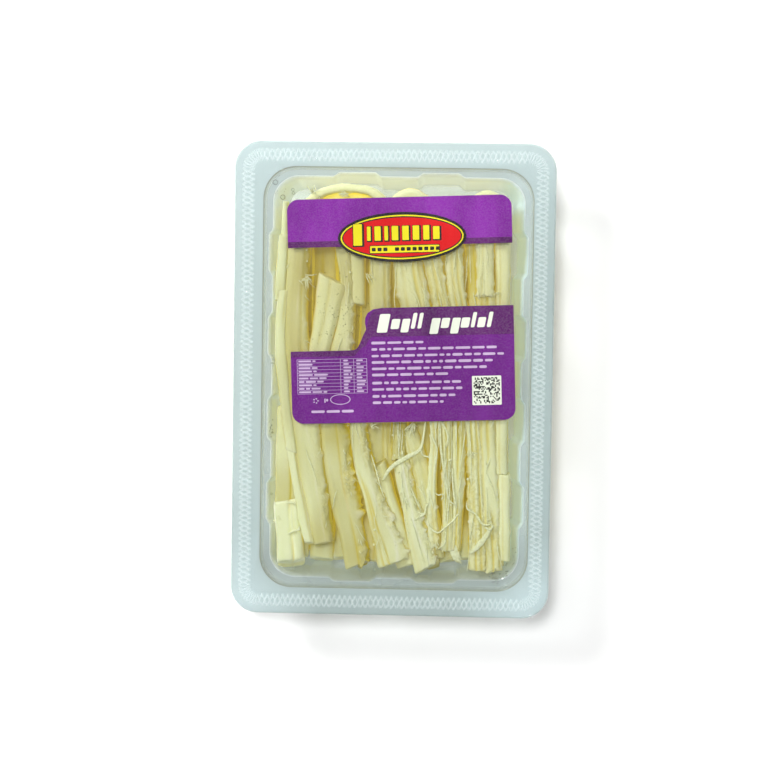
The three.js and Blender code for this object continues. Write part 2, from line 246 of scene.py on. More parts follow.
WHITE = (1.0, 1.0, 1.0)
NOISE_MIDDLE = (0.3, 0.7)  # where nearly all of a noise's values lie
MIRROR_POWER, MIRROR_RISE, MIRROR_LEAST = 5.0, 0.96, 0.012
MIRROR_MOST = 0.18  # a clear sheet's most reflection
RIDGE_CLOUD = 0.18  # what a ridge of the seal adds to the cloudiness
# A bend's painted dark line adds this cloudiness, and the bend reflects this much more.
BEND_CLOUD, BEND_SHINE = 0.35, 0.14  # what a bend of the tray's sheet adds
GRAZING_CLOUD = 5.0  # how many times cloudier the walls are when seen edge on


def add_node(tree, kind, inputs=None, **settings):
    """Adds a shader node, and sets or links its inputs by name or number."""
    node = tree.nodes.new("ShaderNode" + kind)
    for name, value in settings.items():
        setattr(node, name, value)
    for name, value in (inputs or {}).items():
        if isinstance(value, bpy.types.NodeSocket):
            tree.links.new(value, node.inputs[name])
        else:
            node.inputs[name].default_value = value
    return node


def new_material(name):
    """An empty node material and its tree."""
    material = bpy.data.materials.new(name)
    material.use_nodes = True
    material.node_tree.nodes.clear()
    return material, material.node_tree


def rgba(rgb):
    """A colour with full alpha."""
    return (*rgb, 1.0)


def mix_colour(tree, share, first, second):
    """A mix of two colours."""
    node = add_node(tree, "Mix", {0: share}, data_type="RGBA", clamp_factor=True)
    colours = [s for s in node.inputs if s.type == "RGBA"]
    for socket, value in zip(colours, (first, second)):
        if isinstance(value, bpy.types.NodeSocket):
            tree.links.new(value, socket)
        else:
            socket.default_value = rgba(value)
    return next(s for s in node.outputs if s.type == "RGBA")


def remap(tree, value, low, high, to_low, to_high):
    """A value moved from one range to another."""
    inputs = {"Value": value, "From Min": low, "From Max": high, "To Min": to_low, "To Max": to_high}
    return add_node(tree, "MapRange", inputs).outputs["Result"]


def pattern(tree, vector, scale, detail=2.0, roughness=0.5):
    """Noise on a vector."""
    inputs = {"Vector": vector, "Scale": scale, "Detail": detail, "Roughness": roughness}
    return add_node(tree, "TexNoise", inputs).outputs["Fac"]


def stretched(tree, vector, scale):
    """A vector scaled along its axes."""
    return add_node(tree, "Mapping", {"Vector": vector, "Scale": scale}).outputs["Vector"]


def calculate(tree, operation, *values):
    """A sum on values or sockets."""
    return add_node(tree, "Math", dict(enumerate(values)), operation=operation).outputs[0]


def carried(tree, name, output="Fac"):
    """A value that the mesh carries at its corners."""
    return add_node(tree, "Attribute", attribute_name=name).outputs[output]


def object_place(tree):
    """The place on the object."""
    return add_node(tree, "TexCoord").outputs["Object"]


def relief(tree, height, strength, distance, **normal):
    """The normal of a surface with a fine relief, on top of another normal if one is given."""
    inputs = {"Height": height, "Strength": strength, "Distance": distance, **normal}
    return add_node(tree, "Bump", inputs).outputs["Normal"]


def edge_on(tree, **normal):
    """How edge on the surface is seen, from 0 to 1."""
    return add_node(tree, "LayerWeight", {"Blend": 0.5, **normal}).outputs["Facing"]


def mix_shader(tree, share, first, second):
    """A mix of two shaders."""
    return add_node(tree, "MixShader", {0: share, 1: first, 2: second}).outputs[0]


def mirror(tree, roughness, **normal):
    """A white reflection."""
    return add_node(tree, "BsdfGlossy", {"Color": rgba(WHITE), "Roughness": roughness, **normal}).outputs[0]


def finish_material(tree, surface):
    """Ends the tree."""
    add_node(tree, "OutputMaterial", {"Surface": surface})


def mirror_share(tree, facing, most=1.0):
    """How much a smooth face reflects, alike from both sides, from how edge on it is seen."""
    steep = calculate(tree, "POWER", facing, MIRROR_POWER)
    share = calculate(tree, "MULTIPLY_ADD", steep, MIRROR_RISE, MIRROR_LEAST)
    return calculate(tree, "MINIMUM", share, most)


def film_clouds(tree, uneven, colours, haze):
    """A film's cloudiness and its colour: even, and whiter on the seal's ridges."""
    ridges = carried(tree, "knurl")
    even = remap(tree, uneven, *NOISE_MIDDLE, haze * 0.85, haze * 1.15)
    cloudiness = calculate(tree, "MULTIPLY_ADD", ridges, RIDGE_CLOUD, even)
    return cloudiness, mix_colour(tree, ridges, *colours)


def tray_clouds(tree, facing, uneven, colours, haze, rim):
    """The tray's cloudiness and colour with painted light and shade: rim, walls, milky sides and dark
    bends.
    """
    inner, lit = carried(tree, "inner"), carried(tree, "light")
    grazing = remap(tree, facing, 0.5, 0.82, haze, min(1.0, GRAZING_CLOUD * haze))
    spot = remap(tree, inner, 0.0, 1.0, rim["haze"], grazing)
    even = remap(tree, uneven, *NOISE_MIDDLE, 0.9, 1.1)
    milk_and_painted_light = calculate(tree, "MULTIPLY", carried(tree, "milk_and_painted_light"), remap(tree, facing, 0.55, 0.8, 0.0, 1.0))
    cloudiness = calculate(tree, "MULTIPLY_ADD", spot, even, milk_and_painted_light)
    # Painted light and shade: the light values mix each zone's dark and light cloud colours.
    rim_colour = mix_colour(tree, lit, rim["dark"], rim["light"])
    colour_here = mix_colour(tree, inner, rim_colour, mix_colour(tree, lit, *colours))
    colour_here = mix_colour(tree, milk_and_painted_light, colour_here, rim["milk_and_painted_light"])
    # Painted dark lines on the bends and painted shade on the near ledge.
    bend_line = carried(tree, "line")
    colour_here = mix_colour(tree, bend_line, colour_here, rim["line"])
    cloudiness = calculate(tree, "MULTIPLY_ADD", bend_line, BEND_CLOUD, cloudiness)
    return cloudiness, colour_here


def clear_material(name, tints, clouds, haze, gloss, ripple, rim=None):
    """Clear sheet: tinted, darker edge on, a little cloudy, glossy, with a faint ripple.

    tints are its colours face on and edge on, clouds its two cloud colours: plain and ridged for a
    film, and for the tray's walls one in painted shade and one in painted light. The mesh's knurl
    values whiten the seal's ridges. rim gives the tray's rim its own colours in painted shade and in
    painted light, haze, shade and the walls' painted glow: there the mesh's inner values part the rim
    from the walls, its light values run from painted shade to painted light, its values for milky sides
    add cloudiness and painted light, and its line values paint dark lines on the bends and painted
    shade on the near ledge.
    """
    material, tree = new_material(name)
    place = object_place(tree)
    bump = relief(tree, pattern(tree, place, 42.0), ripple, 0.004)
    facing = edge_on(tree)
    through = mix_colour(tree, remap(tree, facing, 0.2, 1.0, 0.0, 1.0), *tints)
    shadow = add_node(tree, "LightPath").outputs["Is Shadow Ray"]
    uneven = pattern(tree, place, 25.0, 3.0)
    cast = tint = tints[0]
    inputs = {"Roughness": 1.0, "Specular IOR Level": 0.0}
    shine = mirror_share(tree, edge_on(tree, Normal=bump), MIRROR_MOST)
    if rim:
        cloudiness, cloud_colour = tray_clouds(tree, facing, uneven, clouds, haze, rim)
        inner = carried(tree, "inner")
        cast = mix_colour(tree, inner, tuple(rim["shade"] * c for c in tint), tint)
        # Painted glow: the walls and floor shine in their cloud colour.
        glow = remap(tree, inner, 0.4, 1.0, 0.0, rim["glow"])
        inputs.update({"Emission Color": cloud_colour, "Emission Strength": glow})
        shine = calculate(tree, "MULTIPLY_ADD", carried(tree, "line"), BEND_SHINE, shine)
    else:
        cloudiness, cloud_colour = film_clouds(tree, uneven, clouds, haze)
    through = mix_colour(tree, shadow, through, cast)
    cloudiness = calculate(tree, "MULTIPLY", cloudiness, remap(tree, shadow, 0.0, 1.0, 1.0, 0.0))
    clear = add_node(tree, "BsdfTransparent", {"Color": through}).outputs[0]
    cloud = add_node(tree, "BsdfPrincipled", {"Base Color": cloud_colour, **inputs}).outputs[0]
    cloudy = mix_shader(tree, cloudiness, clear, cloud)
    finish_material(tree, mix_shader(tree, shine, cloudy, mirror(tree, gloss, Normal=bump)))
    return material


def cheese_material(name, settings):
    """Moist cheese: pale on top, painted golden shade and glow in the creases, fibres along each stick."""
    material, tree = new_material(name)
    place = object_place(tree)
    grain = carried(tree, "grain", "Vector")
    crease, gap, torn, edge_highlight = (carried(tree, value) for value in ("crease", "gap", "torn", "edge_highlight"))
    fibres = pattern(tree, stretched(tree, grain, (11.0, 0.7, 1.0)), 1.0, 3.0, 0.6)
    streaks = pattern(tree, stretched(tree, grain, (2.6, 0.25, 1.0)), 1.0)
    mottle = pattern(tree, place, 260.0, 3.0, 0.6)
    curds = pattern(tree, place, 1000.0, 2.0, 0.6)

    pale, ridge, deep = (tuple(rgb) for rgb in (settings.pale, settings.ridge, settings.deep))
    between = tuple(0.72 * p + 0.28 * d for p, d in zip(pale, deep))
    dried_and_highlit = tuple(0.5 * c + 0.47 for c in ridge)
    top = mix_colour(tree, remap(tree, streaks, 0.32, 0.7, 0.0, 0.55), pale, ridge)
    top = mix_colour(tree, remap(tree, mottle, 0.42, 0.78, 0.0, 0.15), top, between)
    for value, low, high, most in ((fibres, 0.5, 0.75, 0.4), (curds, 0.45, 0.68, 1.0)):
        share = calculate(tree, "MULTIPLY", remap(tree, value, low, high, 0.0, most), torn)
        top = mix_colour(tree, share, top, between)
    # Painted highlight: pale lines along the edges and flaps.
    top = mix_colour(tree, edge_highlight, top, dried_and_highlit)
    # Painted shade: golden in the creases and on the sides.
    body = mix_colour(tree, crease, top, deep)

    height = calculate(tree, "MULTIPLY_ADD", fibres, 0.3, calculate(tree, "MULTIPLY", fibres, torn))
    bump = relief(tree, height, 0.35, 0.0004)
    grit = calculate(tree, "MULTIPLY", curds, remap(tree, torn, 0.0, 1.0, 0.35, 3.0))
    inputs = {
        "Base Color": body,
        "Roughness": remap(tree, mottle, *NOISE_MIDDLE, 0.38, 0.6),
        "Normal": relief(tree, grit, 0.5, 0.0005, Normal=bump),
        "IOR": 1.42,
        "Specular IOR Level": 0.35,
        "Subsurface Weight": remap(tree, torn, 0.0, 0.8, 0.7, 0.15),
        "Subsurface Radius": (1.0, 1.0, 0.9),
        "Subsurface Scale": 0.0013,
        # Painted glow: golden light given off in the gaps.
        "Emission Color": rgba(settings.glow),
        "Emission Strength": gap,
    }
    finish_material(tree, add_node(tree, "BsdfPrincipled", inputs).outputs[0])
    return material


def ink_material(name, rgb, uneven):
    """Printed ink under a gloss film, in lighter and darker patches with pale specks."""
    material, tree = new_material(name)
    place = object_place(tree)
    patches = pattern(tree, stretched(tree, place, (1.0, 0.35, 1.0)), 95.0, 3.0)
    specks = pattern(tree, place, 2600.0, 1.0)
    lighter = tuple(min(c * (1 + 2.2 * uneven) + 0.04 * uneven, 1.0) for c in rgb)
    darker = tuple(c * (1 - 1.6 * uneven) for c in rgb)
    body = mix_colour(tree, remap(tree, patches, 0.32, 0.68, 0.0, 1.0), darker, lighter)
    body = mix_colour(tree, remap(tree, specks, 0.35, 0.75, 0.0, 0.5 * uneven), body, WHITE)
    inputs = {
        "Base Color": body,
        "Roughness": remap(tree, patches, *NOISE_MIDDLE, 0.30, 0.42),
        "Normal": relief(tree, pattern(tree, place, 60.0), 0.06, 0.002),
        "Specular IOR Level": 0.22,
    }
    finish_material(tree, add_node(tree, "BsdfPrincipled", inputs).outputs[0])
    return material


def water_material(name):
    """Water beads under the film, dark round their edges and bright inside."""
    material, tree = new_material(name)
    facing = edge_on(tree)
    uneven = remap(tree, pattern(tree, object_place(tree), 1500.0), *NOISE_MIDDLE, 0.8, 1.0)
    slant = calculate(tree, "MULTIPLY", remap(tree, facing, 0.12, 0.6, 0.0, 1.0), uneven)
    # The dark rim is painted shade, standing in for the bead's refraction at its edge.
    through = mix_colour(tree, slant, (0.97, 0.98, 0.97), (0.16, 0.16, 0.11))
    clear = add_node(tree, "BsdfTransparent", {"Color": through}).outputs[0]
    finish_material(tree, mix_shader(tree, mirror_share(tree, facing), clear, mirror(tree, 0.03)))
    return material


def floor_material(name, rgb, glow):
    """Matte pale floor with a hardly visible grain, lit a little from below."""
    material, tree = new_material(name)
    grain = remap(tree, pattern(tree, object_place(tree), 40.0), *NOISE_MIDDLE, 0.0, 1.0)
    body = mix_colour(tree, grain, rgb, tuple(min(c * 1.01, 1) for c in rgb))
    inputs = {
        "Base Color": body, "Roughness": 0.9, "Specular IOR Level": 0.1,
        "Emission Color": body, "Emission Strength": glow,
    }
    finish_material(tree, add_node(tree, "BsdfPrincipled", inputs).outputs[0])
    return material


# ---------------------------------------------------------------- tray

RIM_CORNER = 11.5
LIP_DROP = 2.4
RIM_BEND = 1.0
SEAL_WIDTH = 8.6
CAVITY_WIDTH, CAVITY_LENGTH, CAVITY_CORNER = 113.2, 177.6, 13.5
CAVITY_SHIFT = Vector((1.5, 0.4))
CORNER_SHRINK = 0.75  # how much a corner tightens with each millimetre inwards
LEDGE_DROP, LEDGE_WIDTH = 5.0, 3.2
MOUTH_BEND, MOUTH_INSET = 0.7, 0.45
LEDGE_FILLET, LEDGE_INSET = 0.8, 0.5
WALL_BEND, WALL_LEAN, WALL_START = 0.9, 1.0, 1.2
BASE_INSET, BASE_FILLET = 4.5, 3.0
FLOOR_RINGS = (12, 2)
FLUTE_PITCH, FLUTE_LENGTH, FLUTE_RAMP, FLUTE_DEPTH = 35.3, 21.0, 3.4, 1.7
FLUTES = (4, 2)
RAMP_STEPS = 6
CORNER_STEPS = 18
# Zones of the sheet counted inwards from the lip, as (last row, how much wall, how much painted
# light, how much less painted light at the far end): rim, upper bend, ledge, wall, the floor's bend, floor.
ZONES = (
    (10, 0.0, 1.0, 0.0), (15, 0.75, 0.6, 0.0), (18, 0.5, 0.6, 0.0), (25, 1.0, 1.6, 0.0),
    (26, 1.0, 1.6, 0.5), (40, 0.84, 1.6, 0.5),
)
RIM_ROWS, LEDGE_ROWS, WALL_ROWS = 10, 18, 24
# Painted dark lines on the bends of the sheet by row, and how much painted shade the near ledge has.
PAINTED_BEND_LINES = {10: 0.9, 11: 0.9, 20: 0.5}
NEAR_PAINTED_SHADE = 0.4
# How much the side walls are whitened seen edge on, left and right: partly milky plastic, partly painted
# light.
MILK_AND_PAINTED_LIGHT_LEFT, MILK_AND_PAINTED_LIGHT_RIGHT = 0.42, 0.66
TRAY_GLOSS, TRAY_RIPPLE = 0.035, 0.06


def flute_stations(count):
    """Where a straight side has its points, and how far each stands out, as a share of a flute's depth."""
    stations = []
    for k in range(count):
        centre = (k - (count - 1) / 2) * FLUTE_PITCH
        for end in (-1, 1):
            ramp = []
            for step in range(RAMP_STEPS + 1):
                share = step / RAMP_STEPS
                reach = FLUTE_LENGTH / 2 - FLUTE_RAMP * share
                ramp.append((centre + end * reach, smoothstep(0, 1, share)))
            stations += ramp if end < 0 else ramp[::-1]
    return stations


SIDE_STATIONS = [flute_stations(count) for count in FLUTES]


def ring_points(half_x, half_y, corner, z, flute=0.0, shift=Vector((0, 0))):
    """A rounded rectangle, anticlockwise from above, whose sides step out at the flutes."""
    points = []
    for side in range(4):
        out, along_half = (half_x, half_y) if side % 2 == 0 else (half_y, half_x)
        turn = Matrix.Rotation(side * math.pi / 2, 2)
        local = [(out + flute * share, along) for along, share in SIDE_STATIONS[side % 2]]
        for step in range(CORNER_STEPS + 1):
            angle = step / CORNER_STEPS * math.pi / 2
            local.append((
                out - corner + corner * math.cos(angle),
                along_half - corner + corner * math.sin(angle),
            ))
        for point in local:
            moved = turn @ Vector(point) + shift
            points.append(Vector((moved.x, moved.y, z)))
    return points


def rim_ring(inset, z):
    """A ring of the rim."""
    return ring_points(PACK_WIDTH / 2 - inset, PACK_LENGTH / 2 - inset, RIM_CORNER - inset, z)


def cavity_ring(inset, z, flute=0.0):
    """A ring of the cavity's wall."""
    return ring_points(
        CAVITY_WIDTH / 2 - inset, CAVITY_LENGTH / 2 - inset, CAVITY_CORNER - CORNER_SHRINK * inset, z,
        flute * FLUTE_DEPTH, CAVITY_SHIFT,
    )


def bend(centre_inset, centre_z, radius, start, end, steps):
    """Insets and heights round a bend in the sheet, between two angles in degrees."""
    turns = [math.radians(start + (end - start) * k / steps) for k in range(steps + 1)]
    return [(centre_inset + radius * math.cos(t), centre_z + radius * math.sin(t)) for t in turns]


def tray_rings(sheet):
    """The tray's upper face as rings, from the middle of the floor to the lip's cut edge."""
    ledge = RIM_HEIGHT - LEDGE_DROP
    foot = LEDGE_WIDTH + BASE_INSET
    base = sheet + BASE_FILLET
    rings = [cavity_ring(foot + BASE_FILLET + inset, sheet) for inset in FLOOR_RINGS]
    for inset, z in bend(foot + BASE_FILLET, base, BASE_FILLET, -90, -180, 6):
        rings.append(cavity_ring(inset, z, smoothstep(0, 1, (z - sheet) / BASE_FILLET)))
    for share in (0.25, 0.5, 0.75):
        inset = foot + (LEDGE_WIDTH + WALL_LEAN - foot) * share
        rings.append(cavity_ring(inset, base + (ledge - WALL_START - base) * share, 1.0))
    for inset, z in bend(LEDGE_WIDTH + 0.05, ledge - WALL_BEND, WALL_BEND, 10, 90, 4):
        rings.append(cavity_ring(inset, z, 1.0))
    for inset, z in bend(LEDGE_FILLET + LEDGE_INSET, ledge + LEDGE_FILLET, LEDGE_FILLET, -90, -180, 3):
        rings.append(cavity_ring(inset, z))
    for inset, z in bend(-MOUTH_INSET, RIM_HEIGHT - MOUTH_BEND, MOUTH_BEND, 0, 90, 4):
        rings.append(cavity_ring(inset, z))
    rings.append(rim_ring(SEAL_WIDTH, RIM_HEIGHT))
    for inset, z in bend(RIM_BEND, RIM_HEIGHT - RIM_BEND, RIM_BEND, 90, 180, 5):
        rings.append(rim_ring(inset, z))
    rings.append(rim_ring(0.0, RIM_HEIGHT - LIP_DROP))
    return rings


def painted_light_share(x, y):
    """How much painted light the cloudy sheet has: more towards the far end and at the near corners."""
    corner = math.exp(-((abs(x) - 62) ** 2 + (y + 96) ** 2) / 200.0) * (1.5 if x > 0 else 1.0)
    return min(1.0, 0.07 + 0.28 * smoothstep(-92, -50, y) + 0.3 * smoothstep(20, 110, y) + 0.9 * corner)


def make_tray(settings):
    """The thermoformed tray as one sheet with its thickness."""
    rings = tray_rings(settings.sheet / MM)
    count = len(rings[0])
    body = bmesh.new()
    inner, light, line, milk_and_painted_light = (
        body.verts.layers.float.new(name) for name in ("inner", "light", "line", "milk_and_painted_light")
    )

    def place(corner, i, j):
        x, y, z = rings[j][i % count]
        corner.co = (x, y, z)
        row = len(rings) - j
        _, wall, painted_lightness, falloff = next(zone for zone in ZONES if row <= zone[0])
        painted_lightness -= falloff * smoothstep(40, 70, y)
        corner[inner] = wall
        # The light values are painted light and shade on the cloudy sheet.
        corner[light] = min(1.0, painted_light_share(x, y) * painted_lightness)
        beside = smoothstep(40, 49, abs(x - CAVITY_SHIFT.x))
        corner[milk_and_painted_light] = (MILK_AND_PAINTED_LIGHT_RIGHT if x > 0 else MILK_AND_PAINTED_LIGHT_LEFT) * beside if row > LEDGE_ROWS else 0.0
        # Painted shade on the near ledge, and painted dark lines on the bends.
        near_painted_shade = NEAR_PAINTED_SHADE * smoothstep(-60, -84, y) if RIM_ROWS < row <= WALL_ROWS else 0.0
        corner[line] = max(PAINTED_BEND_LINES.get(row, 0.0), near_painted_shade)

    add_grid(body, count, len(rings) - 1, place)
    floor_edges = [e for e in body.edges if e.is_boundary and all(v.co.z < 1.0 for v in e.verts)]
    bmesh.ops.holes_fill(body, edges=floor_edges, sides=0)
    bmesh.ops.recalc_face_normals(body, faces=body.faces)
    if sum((f.normal.z * f.calc_area() for f in body.faces)) < 0:
        bmesh.ops.reverse_faces(body, faces=body.faces)
    rim = {
        "dark": settings.rim_painted_shade, "light": settings.rim_painted_light, "haze": settings.haze,
        "shade": settings.shade, "glow": settings.wall_painted_glow, "line": settings.line, "milk_and_painted_light": settings.milk_and_painted_light,
    }
    tints, clouds = (settings.tint, settings.edge_tint), (settings.wall_painted_shade, settings.wall_painted_light)
    material = clear_material(
        "cloudy_clear_plastic", tints, clouds, settings.wall_haze, TRAY_GLOSS, TRAY_RIPPLE, rim
    )
    tray = finish_piece("tray_shell", body, material)
    thickness = tray.modifiers.new("Sheet", "SOLIDIFY")
    thickness.thickness, thickness.offset = settings.sheet, -1.0
    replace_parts(tray, "tray")


# ---------------------------------------------------------------- lid film

TAB_REACH, TAB_START, TAB_TIP, TAB_END = 1.8, 2.5, 10.5, 18.5
FILM_INSET = 0.3
FILM_GLOSS, FILM_RIPPLE = 0.07, 0.07
CUT_WANDER = 0.25  # how unevenly the film is cut round the rim
KNURL_STEP = 0.5
KNURL_OUTER = 2.7
KNURL_RUN = 0.35  # flat strip beside the ridged band
BAND_ROWS = 14
KNURL_SLOPE = 2.3
SEAL_RISE = 0.25  # height of the seal between its ridges, as a share of theirs
MIDDLE_INSET = RIM_CORNER - 0.6  # where the film's flat middle starts


def tab_corner(x, y):
    """Moves a point of the film's outline at the peel corner out to the tab's straight edges."""
    left, top = -PACK_WIDTH / 2 + FILM_INSET, PACK_LENGTH / 2 - FILM_INSET
    centre = Vector((left + RIM_CORNER, top - RIM_CORNER))
    tab = [
        Vector((left, top - TAB_END)),
        Vector((-PACK_WIDTH / 2 - TAB_REACH, top - TAB_TIP)),
        Vector((left + TAB_START, top)),
        Vector((left + RIM_CORNER, top)),
    ]
    here = Vector((x, y))
    if y < tab[0].y or x > centre.x:
        return here
    away = (here - centre).normalized() if y > centre.y else Vector((-1, 0))
    start = centre if y > centre.y else Vector((centre.x, y))
    for first, second in zip(tab, tab[1:]):
        edge = second - first
        cross = away.x * edge.y - away.y * edge.x
        if abs(cross) < 1e-9:
            continue
        gap = first - start
        reach = (gap.x * edge.y - gap.y * edge.x) / cross
        share = (gap.x * away.y - gap.y * away.x) / cross
        if reach > 0 and -1e-6 <= share <= 1 + 1e-6:
            return start + away * reach
    return here


def knurl(along, across, pitch):
    """Height of the seal's crossed ridges, 0 to 1."""
    first = abs(((across / KNURL_SLOPE + along) / pitch) % 1.0 - 0.5) * 2
    second = abs(((across / KNURL_SLOPE - along) / pitch) % 1.0 - 0.5) * 2
    return max(smoothstep(0.45, 1.0, first), smoothstep(0.45, 1.0, second))


def outline_stations():
    """Points evenly round the rim's outline with their outward directions."""
    half_x, half_y = PACK_WIDTH / 2 - FILM_INSET, PACK_LENGTH / 2 - FILM_INSET
    stations = []
    for side in range(4):
        out, half = (half_x, half_y) if side % 2 == 0 else (half_y, half_x)
        turn = Matrix.Rotation(side * math.pi / 2, 2)
        run = 2 * (half - RIM_CORNER)
        steps = round(run / KNURL_STEP)
        local = [((out, -half + RIM_CORNER + run * k / steps), (1, 0)) for k in range(steps)]
        steps = round(RIM_CORNER * math.pi / 2 / KNURL_STEP)
        for k in range(steps):
            angle = k / steps * math.pi / 2
            away = (math.cos(angle), math.sin(angle))
            centre = (out - RIM_CORNER, half - RIM_CORNER)
            local.append(((centre[0] + RIM_CORNER * away[0], centre[1] + RIM_CORNER * away[1]), away))
        stations += [(turn @ Vector(p), turn @ Vector(n)) for p, n in local]
    return stations


def make_film(settings):
    """The heat-sealed lid film: flat over the cavity, ridged over the rim, with a peel tab."""
    stations = outline_stations()
    count = len(stations)
    band, height, pitch = settings.knurl_band / MM, settings.knurl_height / MM, settings.knurl_pitch / MM
    walked = [0.0]
    for (a, _), (b, _) in zip(stations, stations[1:] + stations[:1]):
        walked.append(walked[-1] + (b - a).length)
    pitch = walked[-1] / round(walked[-1] / pitch)
    insets = [0.0, 0.8, KNURL_OUTER - KNURL_RUN, KNURL_OUTER]
    insets += [KNURL_OUTER + band * k / BAND_ROWS for k in range(1, BAND_ROWS + 1)]
    insets += [KNURL_OUTER + band + KNURL_RUN, KNURL_OUTER + band + 1.4, MIDDLE_INSET]
    wander = [noise.noise(Vector((p.x * 0.09, p.y * 0.09, 3.0))) for p, _ in stations]
    body = bmesh.new()
    ridged = body.verts.layers.float.new("knurl")

    def place(corner, i, j):
        point, away = stations[i % count]
        inset = insets[j]
        if j == 0:
            edge = tab_corner(point.x, point.y)
            ragged = CUT_WANDER * max(wander[i % count], 0.0) if edge.x > -60 else 0.0
            corner.co = Vector((*(edge - away * ragged), FILM_TOP))
            return
        across = inset - KNURL_OUTER
        inside = smoothstep(-0.05, 0.5, across) * smoothstep(-0.05, 0.5, band - across)
        share = knurl(walked[i % count], across, pitch)
        rise = height * inside * (SEAL_RISE + (1 - SEAL_RISE) * share)
        corner.co = Vector((*(point - away * inset), FILM_TOP + rise))
        corner[ridged] = inside * share

    add_grid(body, count, len(insets) - 1, place)
    reach_x, reach_y = PACK_WIDTH / 2 - MIDDLE_INSET + 0.1, PACK_LENGTH / 2 - MIDDLE_INSET + 0.1
    hole = [
        e for e in body.edges
        if e.is_boundary and all(abs(v.co.x) < reach_x and abs(v.co.y) < reach_y for v in e.verts)
    ]
    bmesh.ops.holes_fill(body, edges=hole, sides=0)
    lower = bmesh.ops.extrude_face_region(body, geom=body.faces[:])["geom"]
    for corner in lower:
        if isinstance(corner, bmesh.types.BMVert):
            corner.co.z = FILM_UNDER
    bmesh.ops.recalc_face_normals(body, faces=body.faces)
    tints, clouds = (settings.tint, settings.edge_tint), (settings.cloud, settings.ridge)
    material = clear_material("clear_film", tints, clouds, settings.haze, FILM_GLOSS, FILM_RIPPLE)
    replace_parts(finish_piece("lid_film_sheet", body, material), "lid_film")


# ---------------------------------------------------------------- cheese sticks

Stick = namedtuple("Stick", "name height widths route roughness side grooves slants leans roll")


def sticks_from(rows):
    """Sticks from the rows of a table.

    A row holds the stick's name, its height, its widths spread evenly along its route, and the route
    from the far end to the near one as (x, y, depth of the upper face under the rim). Then come how
    torn its face is and on which side (-1 left, 1 right, 0 all over), and grooves along it as (place
    across its face from -1 to 1, depth, half width, start and end along it), where a negative depth
    is a ridge. Last are the slants of the far and the near cut in degrees with how far the
    underside reaches past each, and the roll in degrees.
    """
    sticks = []
    for name, height, widths, route, torn, grooves, ends, roll in rows:
        grooves = [groove if len(groove) > 3 else (*groove, 0.0, 1.0) for groove in grooves]
        sticks.append(Stick(name, height, widths, route, *torn, grooves, ends[:2], ends[2:], roll))
    return sticks


